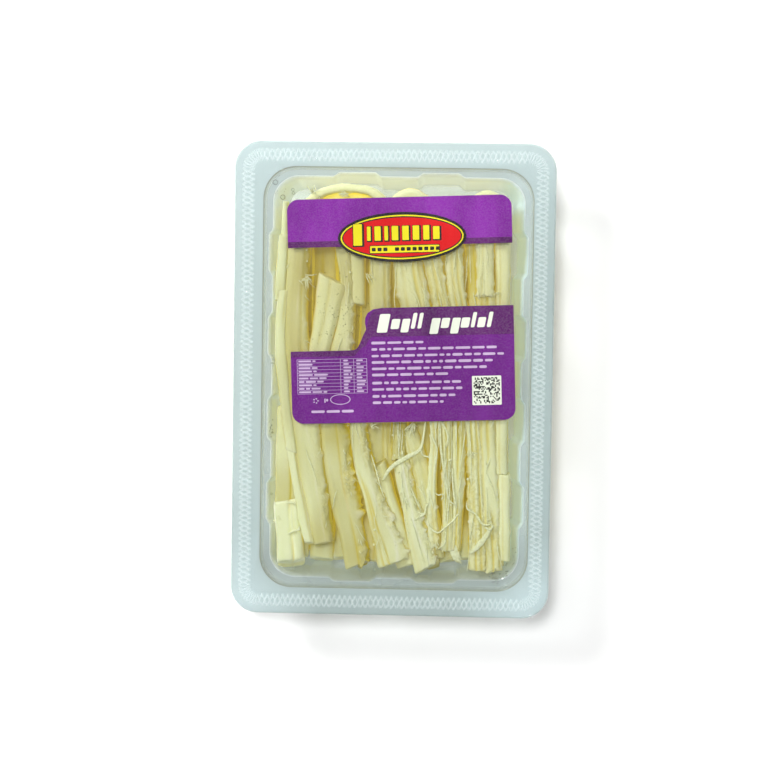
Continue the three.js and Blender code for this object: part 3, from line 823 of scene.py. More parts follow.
STICKS = sticks_from((
    ("lobe_back", 7, (2.4, 2.8), ((-46.6, 75, 4.5), (-46.9, 56, 4)), (0.05, 0), (), (0, 0, 0, 0), 0),
    ("lobe_far", 9, (4.4, 4.8), ((-46.9, 60.6, 2.2), (-48.1, 44, 1.8), (-48.2, 33, 2.4)),
     (0.05, 0), (), (-8, 0, 1, 0), -4),
    ("lobe_middle", 9, (4.6, 5.2, 5), ((-47, 37.4, 1.4), (-48, 18, 1.2), (-42.8, -31, 1)),
     (0.10, 0), ((0.5, 0.5, 0.4, 0.0, 0.2),), (-14, 24, 1.2, 0.6), -3),
    ("lobe_near", 9, (4.6, 4.6, 4), ((-43, -27, 1.6), (-37.5, -56, 0.9), (-34.4, -69.5, 1)),
     (0.12, 0), ((0.75, 0.5, 0.35),), (-30, 10, 0.5, 2.2), 5),
    ("left_wide", 10.5, (10, 9.4, 12, 9),
     ((-39.5, 74, 2.5), (-41.2, 14, 1), (-33.6, -39, 0.8), (-28, -69.6, 1)),
     (0.30, 1), ((0.62, 0.35, 0.5, 0.0, 0.4), (-0.35, -0.18, 0.5)), (0, -4, 0, 1.6), 3),
    ("left_edge", 10.5, (9, 10), ((-44.5, -12, 4), (-44.8, -56, 2.6)),
     (0.06, 0), ((0.45, 0.8, 0.5),), (0, 0, 0, 0), 2),
    ("left_block", 10.5, (11, 11.5), ((-44.6, -52, 1.6), (-42.4, -77.2, 1.4)),
     (0.06, 0), ((0.25, 1.3, 0.4), (0.5, 0.9, 0.4, 0.0, 0.6)), (-6, -3, 0.6, 4.6), -2),
    ("cut_short", 10, (12.6, 9.6, 9), ((-26, 42, 1.6), (-31.3, 14, 2.2), (-35, -4, 4)),
     (0.10, 0), ((0.55, -0.25, 0.6), (-0.2, 0.3, 0.7, 0.0, 0.6)), (15, 0, 0.8, 0), -4),
    ("middle_left", 10.5, (6, 5.8, 11.5, 12.8, 10.6),
     ((-24, 72, 4), (-20, 33, 2.6), (-25, -18, 1.6), (-13.9, -79, 2)),
     (0.45, 1), ((-0.62, -0.35, 0.5), (0.22, 0.5, 0.6, 0.5, 1.0)), (0, -14, 0, 1.4), 4),
    ("under_badge", 8, (6.8, 6), ((-15.9, 74, 4), (-15.1, 32, 3.6)), (0.08, 0), (), (0, 10, 0, 1), 3),
    ("middle_far", 10, (8.4, 9.4, 9), ((-6.4, 73, 3), (-5.8, 30, 2.4), (-6.4, 2, 5)),
     (0.22, 1), ((0.45, 0.5, 0.6),), (0, 0, 0, 0), -3),
    ("fan_first", 10.5, (6.6, 7.4, 8.8, 14.5),
     ((-15.8, 8, 3), (-14, -24, 1), (-6.4, -52, 0.8), (2, -77.6, 1.8)),
     (0.45, 1), ((-0.62, 1.3, 0.5, 0.55, 1.0), (-0.30, 0.9, 0.4, 0.6, 1.0), (-0.7, -0.3, 0.4, 0.0, 0.5)),
     (0, -2, 0, 1.6), 4),
    ("fan_low", 9, (6.6, 9), ((-5.5, -36.4, 4.4), (-0.9, -52, 3.4), (7.3, -79, 4)),
     (0.10, 0), ((0.35, -0.4, 0.4),), (-15, 0, 1.2, 1.5), 6),
    ("fan_second", 10.5, (6.4, 8, 11), ((4.3, -34.6, 1.6), (9.8, -58, 0.8), (15.7, -79.4, 1.8)),
     (0.75, 1), ((-0.12, -0.5, 0.35), (-0.55, 0.2, 0.7)), (2, -15, 1.0, 1.8), 5),
    ("fan_under", 9, (7.6, 8), ((7.3, -20, 6), (14.3, -46, 3.4), (19.6, -76, 5)),
     (0.15, 0), ((0.0, -0.4, 0.5), (-0.6, 0.4, 0.4)), (0, 0, 0, 1), 5),
    ("deep_first", 9, (10, 10), ((-6.8, 4, 12), (-6.7, -42, 11)), (0.05, 0), ((0.55, 0.5, 0.5),),
     (0, 0, 0, 0), -3),
    ("deep_second", 9, (7.4, 6), ((1.6, 4, 7), (3.6, -34, 5)), (0.9, 0), ((0.2, 0.8, 0.6),),
     (0, 0, 0, 0), 0),
    ("deep_third", 9, (8, 8), ((12.3, 4, 9), (12.9, -46, 9)), (0.08, 0), (), (0, 0, 0, 0), 4),
    ("right_wide", 10.5, (11.5, 12.8, 11), ((4.6, 73, 3), (6, 47, 1.4), (17.5, 0, 1.4)),
     (0.55, 0), ((-0.4, 0.6, 0.6), (0.35, 0.9, 0.5), (0.75, 0.6, 0.4)), (0, 0, 0, 0), 2),
    ("right_strand", 8, (4.2, 3.8, 3.4, 4.4),
     ((15.4, 4, 2.2), (18.4, -18, 1.2), (17.6, -48, 0.8), (18.8, -71.4, 2)),
     (0.5, 0), ((0.1, 0.5, 0.35),), (0, -6, 0, 1.2), 6),
    ("right_split", 9, (5.2, 4.8, 4, 5.4),
     ((20.4, 4, 2.4), (23.0, -18, 1.6), (23.8, -48, 1.4), (24.6, -72, 2.6)),
     (0.8, 0), ((-0.2, 0.8, 0.4), (0.5, 0.6, 0.35)), (0, 4, 0, 1.5), -5),
    ("right_second", 10.5, (7.6, 7.4, 7, 5.4, 3.6),
     ((14.5, 73, 3.4), (17, 47, 2), (27, 0, 2), (28.8, -42, 1.8), (28.2, -72, 3)),
     (0.70, 0), ((0.0, 0.9, 0.5), (0.6, 0.5, 0.4)), (0, 0, 0, 1), 4),
    ("right_third", 10.5, (8, 7.6, 6.4, 6.6, 7.2),
     ((24, 73, 3.4), (25.4, 46, 1.8), (33.4, -10, 1.6), (37.6, -80.4, 2.6)),
     (0.75, 0), ((-0.3, 0.9, 0.5), (0.4, 0.8, 0.4)), (0, 6, 0, 1.2), -4),
    ("right_gap", 9, (6.4, 6), ((32.2, 73, 4.4), (35.5, 20, 3.6)), (0.4, 0), ((0, 0.5, 0.4),),
     (0, 0, 0, 0), 0),
    ("right_top", 9, (8, 7.2), ((38.4, 74, 2), (38.5, 36, 1.2)), (0.7, 0),
     ((-0.3, 0.4, 0.4), (0.2, -0.3, 0.4)), (0, 3, 0, 1), 3),
    ("right_fourth", 10.5, (8, 8.4, 8.2, 7.2), ((39.4, 38, 2.6), (40.3, -18, 1.4), (44.2, -80.4, 2.6)),
     (0.45, 0), ((0.1, 0.9, 0.45), (-0.5, 0.5, 0.5), (0.65, -0.3, 0.4)), (0, -10, 0, 1.2), 4),
    ("right_edge", 10, (7, 6, 5.2), ((45.3, 73, 3), (46.2, 0, 1.6), (47.0, -38.9, 1.8)),
     (0.2, 0), ((-0.4, 0.5, 0.4),), (0, 0, 0, 1), -3),
    ("right_last", 10, (5.2, 5.0), ((47.6, -39.2, 2.0), (48.5, -76.0, 2.6)), (0.25, 0),
     ((-0.3, 0.4, 0.4),), (4, 6, 1, 1), -4),
))

LEFT_STICKS = 16  # how many of them are in the left half's piece

# The bundle's bent-over far ends.
FOLDS = sticks_from((
    ("fold_inside", 10, (26, 24), ((-21.2, 60, 5.0), (-21.2, 69, 4.2), (-20.8, 78.6, 4.6)),
     (0.3, 0), (), (0, 0, 0, 0), 0),
    ("fold_left", 12, (5.2, 4.4, 3.8, 3.6, 3.8, 4.4, 5.0),
     ((-39.4, 64, 3), (-37.2, 73.2, 2.6), (-30, 79.0, 2.0), (-19.6, 80.9, 1.8), (-9.4, 79.0, 2),
      (-4.0, 73.2, 2.6), (-3.4, 64, 3)),
     (0.25, 0), (), (0, 0, 0, 0), 0),
    ("fold_middle", 12, (5.4, 5),
     ((-2.6, 64, 3.4), (-1, 73.4, 2.8), (6, 78.2, 2.4), (13, 74.6, 2.8), (14.6, 64, 3.4)),
     (0.25, 0), (), (0, 0, 0, 0), 0),
    ("fold_right", 12, (5.2, 5.2),
     ((30.6, 64, 3), (32, 74, 2.6), (38.5, 78.4, 2.0), (44.4, 74.6, 2.4), (45.6, 64, 3)),
     (0.25, 0), (), (0, 0, 0, 0), 0),
))

# How much painted shade a stick has all over, where it differs from none; below none it is painted light.
PAINTED_SHADES = {
    "lobe_far": 0.12, "lobe_middle": 0.1, "left_wide": 0.38, "left_edge": 0.3, "left_block": -0.25,
    "cut_short": 0.12, "middle_left": 0.32, "under_badge": 0.2, "middle_far": 0.2, "fan_first": 0.18,
    "fan_low": 0.22, "fan_second": 0.04, "fan_under": 0.2, "deep_first": 0.3, "deep_second": 0.2,
    "deep_third": 0.3, "right_wide": 0.1, "right_second": 0.04, "right_gap": 0.5, "fold_inside": 0.8,
    "fold_left": -0.4, "fold_middle": -0.4, "fold_right": -0.4,
}
# How much painted golden glow a stick gives all over.
PAINTED_GLOWS = {
    "fold_inside": 2.1, "fold_left": 0.35, "fold_middle": 0.3, "fold_right": 0.3, "right_gap": 0.4,
    "deep_first": 0.15, "deep_third": 0.15,
}


def stick_painted_shade(name):
    """How much painted shade a stick has at y along the pack: more under the label, most near its foot, and
    at the near end.
    """
    base = PAINTED_SHADES.get(name, 0.0)

    def shade(y):
        label_shadow = 0.16 * smoothstep(-40, -18, y) - 0.08 * smoothstep(-10, 20, y)
        return base + label_shadow + 0.16 * smoothstep(-60, -78, y)

    return shade


def stick_painted_glow(name):
    """How much painted golden glow a stick gives."""
    return lambda y: PAINTED_GLOWS.get(name, 0.0)


def lower_painted_shade(y):
    """The painted shade of the lower layers: golden where they lie deep, less at their near ends."""
    return 0.10 + 0.7 * smoothstep(-72, -55, y)


def lower_painted_glow(y):
    """The painted golden glow of the lower layers."""
    return 0.22 * smoothstep(-72, -40, y)


LAYER_COUNT, LAYER_SPACING = 9, 10.5
LAYER_DEPTHS = (11.8, 22.3)
LAYER_STICK = {"height": 10.6, "widths": (10.4, 11, 10.4)}
LAYER_COARSENESS = 2.4
NEAR_END, FAR_END = -76.5, 74.0
LAYER_SEED, LAYER_FACTOR, LAYER_MODULUS = 20731, 16807, 2**31 - 1

SQUARENESS, THREAD_SQUARENESS = 0.55, 0.8
# A stick's cut end as (size of the section, how far it is from the cut).
CAP_ROWS = ((0.0, 0.0), (0.45, 0.0), (0.84, 0.02), (0.955, 0.16), (0.99, 0.55), (1.0, 1.2))
CAP_LENGTH = CAP_ROWS[-1][1]
ROUTE_SAMPLES = 20
SECTION_SAMPLES = 721
UNDERSIDE, UNDERSIDE_SHARE = -0.15, 0.3  # from this level down, a section has this share of points
HEADING_SPAN = 2.0
CENTIMETRE = 0.1  # noise on a stick is laid out in centimetres
THREAD_STEP, THICK_THREAD = 1.1, 1.3
CEILING = FILM_UNDER - 0.06
END_ZONE = 8.0  # how far from a cut its slant reaches
FADE = 0.06  # share of a stick over which a groove fades in or out


class Route:
    """A smooth line through points, with the place and direction at any distance along it."""

    def __init__(self, points):
        given = [Vector(p) for p in points]
        ends = [2 * given[0] - given[1], *given, 2 * given[-1] - given[-2]]
        fine = []
        for a, b, c, d in zip(ends, ends[1:], ends[2:], ends[3:]):
            ta, tb, tc = (math.sqrt((q - p).length) for p, q in ((a, b), (b, c), (c, d)))
            leave = ((b - a) / ta - (c - a) / (ta + tb) + (c - b) / tb) * tb
            arrive = ((c - b) / tb - (d - b) / (tb + tc) + (d - c) / tc) * tb
            fine += interpolate_bezier(b, b + leave / 3, c - arrive / 3, c, ROUTE_SAMPLES)[:-1]
        fine.append(given[-1])
        self.points = np.array([tuple(p) for p in fine])
        steps = np.linalg.norm(np.diff(self.points, axis=0), axis=1)
        self.walked = np.concatenate(([0.0], np.cumsum(steps)))
        self.length = float(self.walked[-1])

    def at(self, distance):
        """The place at this distance, carried straight on past the ends."""
        held = min(max(distance, 0.0), self.length)
        place = Vector([float(np.interp(held, self.walked, self.points[:, k])) for k in range(3)])
        if abs(distance - held) > 1e-6:
            place += self.ahead(held) * (distance - held)
        return place

    def ahead(self, distance):
        """The level direction of travel at this distance."""
        reach = min(HEADING_SPAN, self.length)
        low = min(max(distance - reach / 2, 0.0), self.length - reach)
        step = self.at(low + reach) - self.at(low)
        step.z = 0.0
        return step.normalized()


def wave(*place):
    """Smooth noise, from about -1 to 1."""
    return noise.noise(Vector(place))


def section_points(width, height, count, squareness=SQUARENESS):
    """Points round a rounded oblong from the middle of its underside, with outward directions.

    The underside has fewer points. The last value of each is how far round it lies.
    """
    angles = np.linspace(-math.pi / 2, 1.5 * math.pi, SECTION_SAMPLES)
    sides = ((np.cos(angles), width), (np.sin(angles), height))
    bent = [np.sign(value) * np.abs(value) ** squareness * size / 2 for value, size in sides]
    outline = np.stack(bent, axis=1)
    steps = np.linalg.norm(np.diff(outline, axis=0), axis=1)
    walked = np.concatenate(([0.0], np.cumsum(steps)))
    shares = np.where(outline[1:, 1] > UNDERSIDE * height, 1.0, UNDERSIDE_SHARE)
    weighed = np.concatenate(([0.0], np.cumsum(steps * shares)))
    wanted = np.interp(np.linspace(0.0, weighed[-1], count + 1)[:-1], weighed, walked)
    across, up = (np.interp(wanted, walked, outline[:, k]) for k in range(2))
    power = 2 / squareness - 1
    out_x = np.sign(across) * np.abs(across / (width / 2)) ** power / width
    out_z = np.sign(up) * np.abs(up / (height / 2)) ** power / height
    size = np.sqrt(out_x**2 + out_z**2) + 1e-9
    return list(zip(across, up, out_x / size, out_z / size, wanted))


def groove_cut(stick, q, width, top, share_along, along, seed):
    """How deep a stick's grooves cut its face here, and how deep in a groove the place lies, 0 to 1."""
    cut = deep = 0.0
    for at, depth, half, start, stop in stick.grooves:
        drift = 0.14 * wave(along * 0.5, at * 9.0, seed)
        miss = (q - at - drift) * width / 2 / half
        share = math.exp(-miss * miss) * top
        share *= smoothstep(start - FADE, start + FADE, share_along) if start > 0 else 1.0
        share *= smoothstep(stop + FADE, stop - FADE, share_along) if stop < 1 else 1.0
        share *= smoothstep(-0.75, -0.1, wave(along * 0.45, at * 5.0 + 8.0, seed))
        cut += depth * share
        deep = max(deep, share * min(1.0, 1.2 * depth))
    return cut, deep


class StickMaker:
    """Adds sticks to one mesh, each with its grain, painted shade and glow, torn places and painted
    highlights.
    """

    def __init__(self, settings, skipped=0):
        self.body = bmesh.new()
        self.grain = self.body.verts.layers.float_vector.new("grain")
        self.crease, self.gap, self.torn, self.edge_highlight = (
            self.body.verts.layers.float.new(name) for name in ("crease", "gap", "torn", "edge_highlight")
        )
        self.step = settings.along_step / MM
        self.around = settings.around_step / MM
        self.number = settings.seed + skipped

    def skin(self, around, rows, place):
        """Adds a closed skin of rings, with its faces outwards."""
        made = add_grid(self.body, around, rows, place)
        faces = {face for corner in made for face in corner.link_faces}
        bmesh.ops.recalc_face_normals(self.body, faces=list(faces))

    def stick_frames(self, stick, route, coarse):
        """Rings along a stick as (distance, scale, centre, heading, width), closer at its cut ends."""
        rows = [(lead, scale) for scale, lead in CAP_ROWS]
        plain = route.length - 2 * CAP_LENGTH
        steps = max(2, round(plain / (self.step * coarse)))
        rows += [(CAP_LENGTH + plain * k / steps, 1.0) for k in range(1, steps)]
        rows += [(route.length - lead, scale) for scale, lead in reversed(CAP_ROWS)]
        return [
            (distance, scale, route.at(distance), route.ahead(distance),
             spread(stick.widths, distance / route.length))
            for distance, scale in rows
        ]

    def add(self, stick, shade, glow, coarse=1.0):
        """Adds one stick, and returns its route.

        shade and glow give its painted shade and painted golden glow at y, and coarse widens its steps.
        """
        height, roughness, side = stick.height, stick.roughness, stick.side
        route = Route([(x, y, RIM_HEIGHT - depth - height / 2) for x, y, depth in stick.route])
        cosine, sine = math.cos(math.radians(stick.roll)), math.sin(math.radians(stick.roll))
        slopes = [math.tan(math.radians(slant)) for slant in stick.slants]
        frayed = min(roughness, 0.5)
        self.number += 1
        seed = self.number * 5.17
        mean = sum(stick.widths) / len(stick.widths)
        around = max(10, round((1.4 * mean + 1.1 * height) / (self.around * coarse)))
        section = section_points(mean, height, around)
        frames = self.stick_frames(stick, route, coarse)

        def place(corner, i, j):
            across, up, out_x, out_z, walked = section[i % around]
            distance, scale, centre, ahead, width = frames[j]
            along, girth = CENTIMETRE * distance, CENTIMETRE * walked
            q = across / (mean / 2)
            level = up / (height / 2)
            top = smoothstep(0.35, 0.95, level)
            shelf = smoothstep(1.0, 0.1, level)
            cut, deep = groove_cut(stick, q, width, top, distance / route.length, along, seed)

            # The torn part: all over, or past an uneven edge on one side.
            beyond = q * side - (0.2 + 0.45 * wave(along * 0.45, seed, 70.0))
            cut += 1.7 * roughness * max(0.0, beyond) * top if side else 0.0
            tear = roughness * (1.8 * smoothstep(-0.08, 0.25, beyond) if side else 1.0)
            tear *= 0.35 + 0.95 * smoothstep(-0.2, 0.4, wave(along * 0.5, girth * 0.8, seed + 40))
            strands = wave(girth * 5.0, along * 0.35, seed)
            fibres = wave(girth * 12.0, along * 0.8, seed + 5)
            curds = wave(girth * 6.5, along * 4.5, seed + 9)
            swell = wave(girth * 1.6, along * 0.6, seed + 20)
            clots = wave(girth * 3.2, along * 2.6, seed + 14)
            lift = 0.45 * swell + (0.06 + 0.55 * tear) * strands + 0.3 * tear * fibres - cut
            lift += tear * (0.9 * curds + 0.6 * clots if side else 0.8 * curds)

            # Flaps stand out of the torn side.
            ragged_side = smoothstep(0.5, 0.9, q * side if side else abs(q)) * smoothstep(-0.5, 0.2, level)
            flap = wave(along * 3.1, girth, seed + 90) + 0.7 * wave(along * 11.0, girth * 2.0, seed + 95)
            flap = max(0.0, flap) * ragged_side
            across += math.copysign((4.2 if side else 2.0) * frayed * flap, q)
            wobble = 0.5 * wave(along * 0.7, seed, 1.0)
            x = (across * width / mean * (1 + 0.09 * wave(along, seed, 5.0)) + out_x * lift) * scale
            z = (up + out_z * lift) * scale
            x, z = x * cosine - z * sine, x * sine + z * cosine

            # The cut ends slant, lean and fray.
            forward = 0.0
            to_end = min(distance, route.length - distance)
            if to_end < END_ZONE:
                near = distance > route.length / 2
                lean = stick.leans[near] * (0.5 - z / height) * (1 if near else -1)
                ragged = (0.25 + 2.4 * tear) * wave(girth * 7.0, seed, 30.0)
                forward = slopes[near] * x + lean + ragged * min(1.0, 0.4 + scale)
                forward *= smoothstep(END_ZONE, 0, to_end)
            right = Vector((-ahead.y, ahead.x, 0.0))
            spot = centre + right * (x + wobble) + ahead * forward + Vector((0, 0, z))
            spot.z = min(spot.z, CEILING)
            corner.co = spot

            # Colours: painted golden shade and glow in the creases and gaps, torn places, painted edge
            # highlights.
            corner[self.grain] = Vector((girth, along, self.number))
            valley = tear * (0.05 + max(0.0, -strands) + 0.5 * max(0.0, -fibres) + 0.5 * max(0.0, -curds))
            valley *= 0.35 if side else 0.8
            blotch = smoothstep(-0.4, 0.5, wave(along * 0.4, girth * 0.6, seed + 60))
            painted_tone = shade(centre.y) * (0.6 + 0.8 * blotch) + 0.10 * blotch
            capped = 1.0 - 0.7 * smoothstep(3.0, 0.8, to_end)
            corner[self.crease] = min(1.0, max(0.0, max(0.6 * deep, 0.75 * shelf * capped) + painted_tone + valley))
            corner[self.gap] = min(1.0, max(0.7 * deep, shelf * capped, 1.2 * valley)) + glow(centre.y)
            corner[self.torn] = min(1.0, tear)
            line = math.exp(-((beyond / 0.07) ** 2)) if side else 0.0
            line = max(line, math.exp(-(((abs(q) - 0.92) / 0.05) ** 2)) * smoothstep(0.3, 0.6, level))
            line *= smoothstep(-0.35, 0.35, wave(along * 0.8, q, seed + 80))
            corner[self.edge_highlight] = min(1.0, 0.75 * line + 2.2 * frayed * flap)

        self.skin(around, len(frames) - 1, place)
        return route

    def thread(self, points, widths, height):
        """Adds a thin thread through points (x, y, z)."""
        route = Route(points)
        self.number += 1
        seed = self.number * 3.3
        steps = max(3, round(route.length / THREAD_STEP))
        around = 7 if max(widths) < THICK_THREAD else 12
        section = section_points(1.0, 1.0, around, THREAD_SQUARENESS)
        stops = [route.length * k / steps for k in range(steps + 1)]
        frames = [(s, route.at(s), route.ahead(s), spread(widths, s / route.length)) for s in stops]

        def place(corner, i, j):
            across, up, _, _, _ = section[i % around]
            distance, centre, ahead, width = frames[j]
            close = 0.0 if j in (0, steps) else min(1.0, 0.45 + 0.35 * min(j, steps - j))
            right = Vector((-ahead.y, ahead.x, 0.0))
            swell = 1 + 0.22 * wave(distance * 0.35, seed, 2.0)
            spot = centre + right * across * width * close * swell
            spot.z += up * min(height, width) * close * swell
            spot.z = min(spot.z, CEILING)
            corner.co = spot
            corner[self.grain] = Vector((CENTIMETRE * across, CENTIMETRE * distance, self.number))
            # Painted shade and glow on the underside.
            corner[self.crease] = 0.6 * smoothstep(0.1, -0.5, up)
            corner[self.gap] = 0.5 * smoothstep(0.3, -0.5, up)
            corner[self.torn] = 0.9

        self.skin(around, steps, place)

    def crumb(self, place, radius):
        """Adds a torn-off crumb."""
        self.number += 1
        made = bmesh.ops.create_icosphere(
            self.body, subdivisions=2, radius=radius, matrix=Matrix.Translation(place)
        )["verts"]
        for corner in made:
            away = corner.co - place
            bump = 1 + 0.45 * wave(*(corner.co * 1.9 + Vector((self.number, 0, 0))))
            corner.co = place + Vector((away.x * bump, away.y * bump * 1.25, away.z * bump * 0.7))
            corner.co.z = min(corner.co.z, CEILING)
            corner[self.grain] = Vector((CENTIMETRE * away.x, CENTIMETRE * away.y, self.number))
            # Painted shade and glow on the underside.
            corner[self.crease] = 0.5 * smoothstep(0.0, -0.8, away.z / radius)
            corner[self.gap] = 0.5 * smoothstep(0.3, -0.8, away.z / radius)
            corner[self.torn] = 0.6


def lower_layer_sticks():
    """The plain sticks of the two lower layers, side by side along the pack."""
    state = LAYER_SEED

    def draw(low, high):
        nonlocal state
        state = state * LAYER_FACTOR % LAYER_MODULUS
        return low + (high - low) * state / LAYER_MODULUS

    sticks = []
    for layer in LAYER_DEPTHS:
        for k in range(LAYER_COUNT):
            x = CAVITY_SHIFT.x + (k - (LAYER_COUNT - 1) / 2) * LAYER_SPACING
            depth = layer + draw(-0.3, 0.2)
            stops = [FAR_END + draw(-3, 1), 0.0, NEAR_END + draw(-2.5, 2)]
            route = [(x + draw(-0.5, 0.5), y, depth) for y in stops]
            slants, leans = (draw(-9, 9), draw(-15, 12)), (1.0, draw(0.5, 3))
            grooves = ((draw(-0.5, 0.5), 0.5, 0.5, 0.0, 1.0),)
            sticks.append(Stick(
                name="lower", route=route, slants=slants, leans=leans, grooves=grooves,
                roughness=draw(0.05, 0.3), side=0, roll=draw(-3, 3), **LAYER_STICK,
            ))
    return sticks


# Ribbons and loops of thread that show, as points (x, y, depth under the rim) with their widths.
RIBBONS = [
    (((14.6, -14, 1.6), (13.4, -24, 1.4), (12.1, -29, 1.3), (6, -32.8, 1.0), (0, -37, 1.2),
      (-3.8, -43, 2.2)), (0.9, 0.8, 1.3, 2.0, 1.7, 0.9)),
    (((12.2, -28, 1.4), (13.2, -31.2, 1.6), (16, -32.2, 1.8), (20, -32.4, 1.6)), (0.7, 0.7, 0.8)),
    (((42.6, -60.9, 1.0), (41.9, -63, 0.7), (40.5, -65.6, 0.7), (37, -69.9, 0.7), (33.4, -73.3, 1.4)),
     (1.4, 1.9, 2.3, 2.1, 1.2)),
    (((32.2, -50.5, 1.4), (32.6, -53.8, 1.0), (36.1, -55.9, 0.9), (39.2, -60.2, 0.7), (42, -60.4, 0.8),
      (43.2, -58.4, 1.0)), (0.6, 0.8, 0.7, 1.0, 0.9, 0.7)),
    (((39.6, -61, 0.5), (42.4, -62.6, 0.5), (43.4, -60.6, 0.5), (42.2, -59.4, 0.6)), (0.8, 1.0, 0.8)),
    (((20.3, -16, 1.4), (22.8, -20, 1.2), (23.8, -23, 1.1), (23.3, -28.5, 1.6)), (0.7, 0.8, 0.9, 0.6)),
    (((16.2, -16, 1.6), (17.2, -23, 1.1), (19.3, -28.6, 0.8), (18.8, -36, 0.7)), (0.7, 0.9, 0.9, 0.6)),
    (((20.3, -14, 1.6), (21, -28.6, 1.0), (23.1, -40.9, 0.9), (25.2, -50.6, 1.0), (28.8, -52.9, 1.6)),
     (0.6, 1.0, 1.1, 0.9, 0.6)),
    (((15.8, -58.5, 1.0), (17, -62, 0.8), (20.5, -64.2, 0.6), (23.5, -61.7, 0.6), (26.5, -59.1, 0.7),
      (29.2, -55.4, 1.0)), (0.6, 0.8, 0.8, 0.7)),
    (((18.6, -46.8, 0.8), (20, -48.2, 0.7), (22.2, -47.8, 0.8), (21.4, -50.9, 1.6)), (0.6, 0.7, 0.6)),
    (((9.4, -59.6, 1.0), (12.4, -57.6, 0.7), (14.6, -56.2, 0.6), (15.2, -53, 0.7), (17.6, -50.6, 0.8)),
     (0.6, 1.0, 0.9, 0.9)),
    (((11.2, -55.2, 1.0), (13.4, -56.4, 0.8), (15.6, -55.6, 0.8)), (0.7, 0.9, 0.6)),
    (((26, -36, 1.4), (26.2, -42, 1.2), (26.9, -48, 1.1), (28.2, -54.2, 1.6)), (0.6, 0.9, 0.9)),
    (((20, -71.6, 1.4), (23, -69, 0.8), (23.6, -62.9, 0.8)), (0.6, 0.9, 0.6)),
    (((26.4, -69, 3.4), (28.0, -74, 4.0), (29.4, -77.6, 4.8)), (3.4, 4.0, 2.4)),
    (((-44.6, -53, 1.0), (-41.6, -52.6, 0.8), (-39.8, -54.2, 1.0)), (0.7, 1.2, 0.7)),
    (((-43.4, -66.4, 0.8), (-41, -64.6, 0.6), (-38.8, -64.2, 0.8), (-38.6, -62, 1.0)), (0.8, 1.2, 1.0)),
]


# Frayed tufts as (x, y, depth under the rim, heading and half fan in degrees, length, how many threads).
TUFTS = (
    (-37.0, 43.5, 1.0, -60, 35, 7.5, 14), (-40.0, 41.5, 0.9, -20, 40, 5.5, 6),
    (-11.4, 45.0, 1.4, -60, 30, 5.5, 8), (-34.5, 78.4, 2.0, 105, 45, 4.6, 14),
    (-33.5, 78.8, 2.0, -40, 40, 4.5, 8), (-23.5, 78.8, 1.6, -20, 40, 5.5, 14),
    (28.6, -74.6, 4.0, -62, 30, 5.0, 14), (38.6, 37.0, 1.0, 180, 80, 2.6, 12),
    (42.6, 37.0, 1.0, 20, 60, 2.4, 8), (-8.6, -20.0, 0.9, 60, 60, 4.0, 14),
    (-15.0, -18.5, 0.9, 100, 60, 3.5, 12), (19.4, -68.5, 1.6, -95, 30, 5.0, 12),
    (41.5, -59.0, 0.9, 60, 70, 2.8, 14), (33.6, -30.0, 1.2, -60, 60, 3.5, 10),
    (9.0, -18.0, 2.0, -110, 50, 7.0, 12),
)


# How many hairs, whiskers and crumbs lie on a stick.
HAIRS = {
    "right_wide": 20, "right_second": 20, "right_third": 18, "right_fourth": 10, "fan_first": 8,
    "fan_second": 8, "middle_left": 6, "deep_second": 12, "left_wide": 3, "cut_short": 3,
    "middle_far": 6, "fan_under": 4, "right_gap": 8, "right_top": 6, "right_strand": 10, "right_split": 14,
}
WHISKERS = {
    "left_wide": 12, "middle_left": 22, "fan_first": 18, "fan_second": 18, "middle_far": 6, "fan_under": 6,
    "left_block": 3, "cut_short": 3, "right_third": 8, "right_fourth": 8, "right_wide": 5,
}
CRUMBS = {
    "right_wide": 4, "right_third": 4, "fan_first": 8, "fan_second": 12, "middle_left": 6,
    "left_wide": 4, "deep_second": 8, "right_fourth": 4, "left_block": 2, "right_split": 4,
}
RIBBON_HEIGHT, RIBBON_SINK = 0.9, 0.3
CORE_SIZE, CORE_MIDDLE, CORE_BEVEL = (82, 140, 16), 13, 4


def top_place(route, stick, distance, q, lift):
    """A place on a stick's upper face, q from -1 to 1 across it."""
    centre, ahead = route.at(distance), route.ahead(distance)
    width = spread(stick.widths, distance / route.length)
    drop = 0.9 * smoothstep(0.7, 1.25, abs(q)) * stick.height * 0.35
    spot = centre + Vector((-ahead.y, ahead.x, 0)) * q * width / 2
    spot.z = min(spot.z + stick.height / 2 - drop + lift, CEILING - 0.1)
    return spot


def add_tuft(maker, tuft, draw):
    """Adds a tuft of fine threads that fan out from one place."""
    x, y, depth, heading, fan, reach, count = tuft
    for _ in range(count):
        turn = math.radians(heading + draw.gauss(0, 0.6) * fan)
        bow = math.radians(draw.uniform(-70, 70))
        start = (x + draw.uniform(-0.8, 0.8), y + draw.uniform(-0.8, 0.8))
        spot = Vector((*start, RIM_HEIGHT - depth - draw.uniform(0, 0.5)))
        step = reach * draw.uniform(0.35, 1.0) / 3
        points = [spot.copy()]
        for _ in range(3):
            spot += Vector((math.cos(turn), math.sin(turn), draw.uniform(-0.12, 0.06))) * step
            turn += bow / 3
            points.append(spot.copy())
        width = draw.uniform(0.2, 0.6)
        maker.thread(points, (width, width, 0.5 * width), 0.5)


def add_hair(maker, route, stick, draw):
    """Adds a fine thread that follows a stick's upper face and drifts across it."""
    start = draw.uniform(0.02, 0.9) * route.length
    run = draw.uniform(5, 12 + 22 * stick.roughness)
    q = draw.uniform(-1.0, 1.0)
    drift = draw.uniform(-0.9, 0.9)
    points = []
    for share in (0, 0.25, 0.5, 0.75, 1):
        lift = 0.12 + 0.35 * math.sin(share * math.pi) * draw.random()
        sway = q + drift * share + draw.uniform(-0.06, 0.06)
        points.append(top_place(route, stick, min(start + run * share, route.length + 1), sway, lift))
    width = draw.uniform(0.25, 0.75)
    maker.thread(points, (width * 0.6, width, width * 0.5), 0.6)


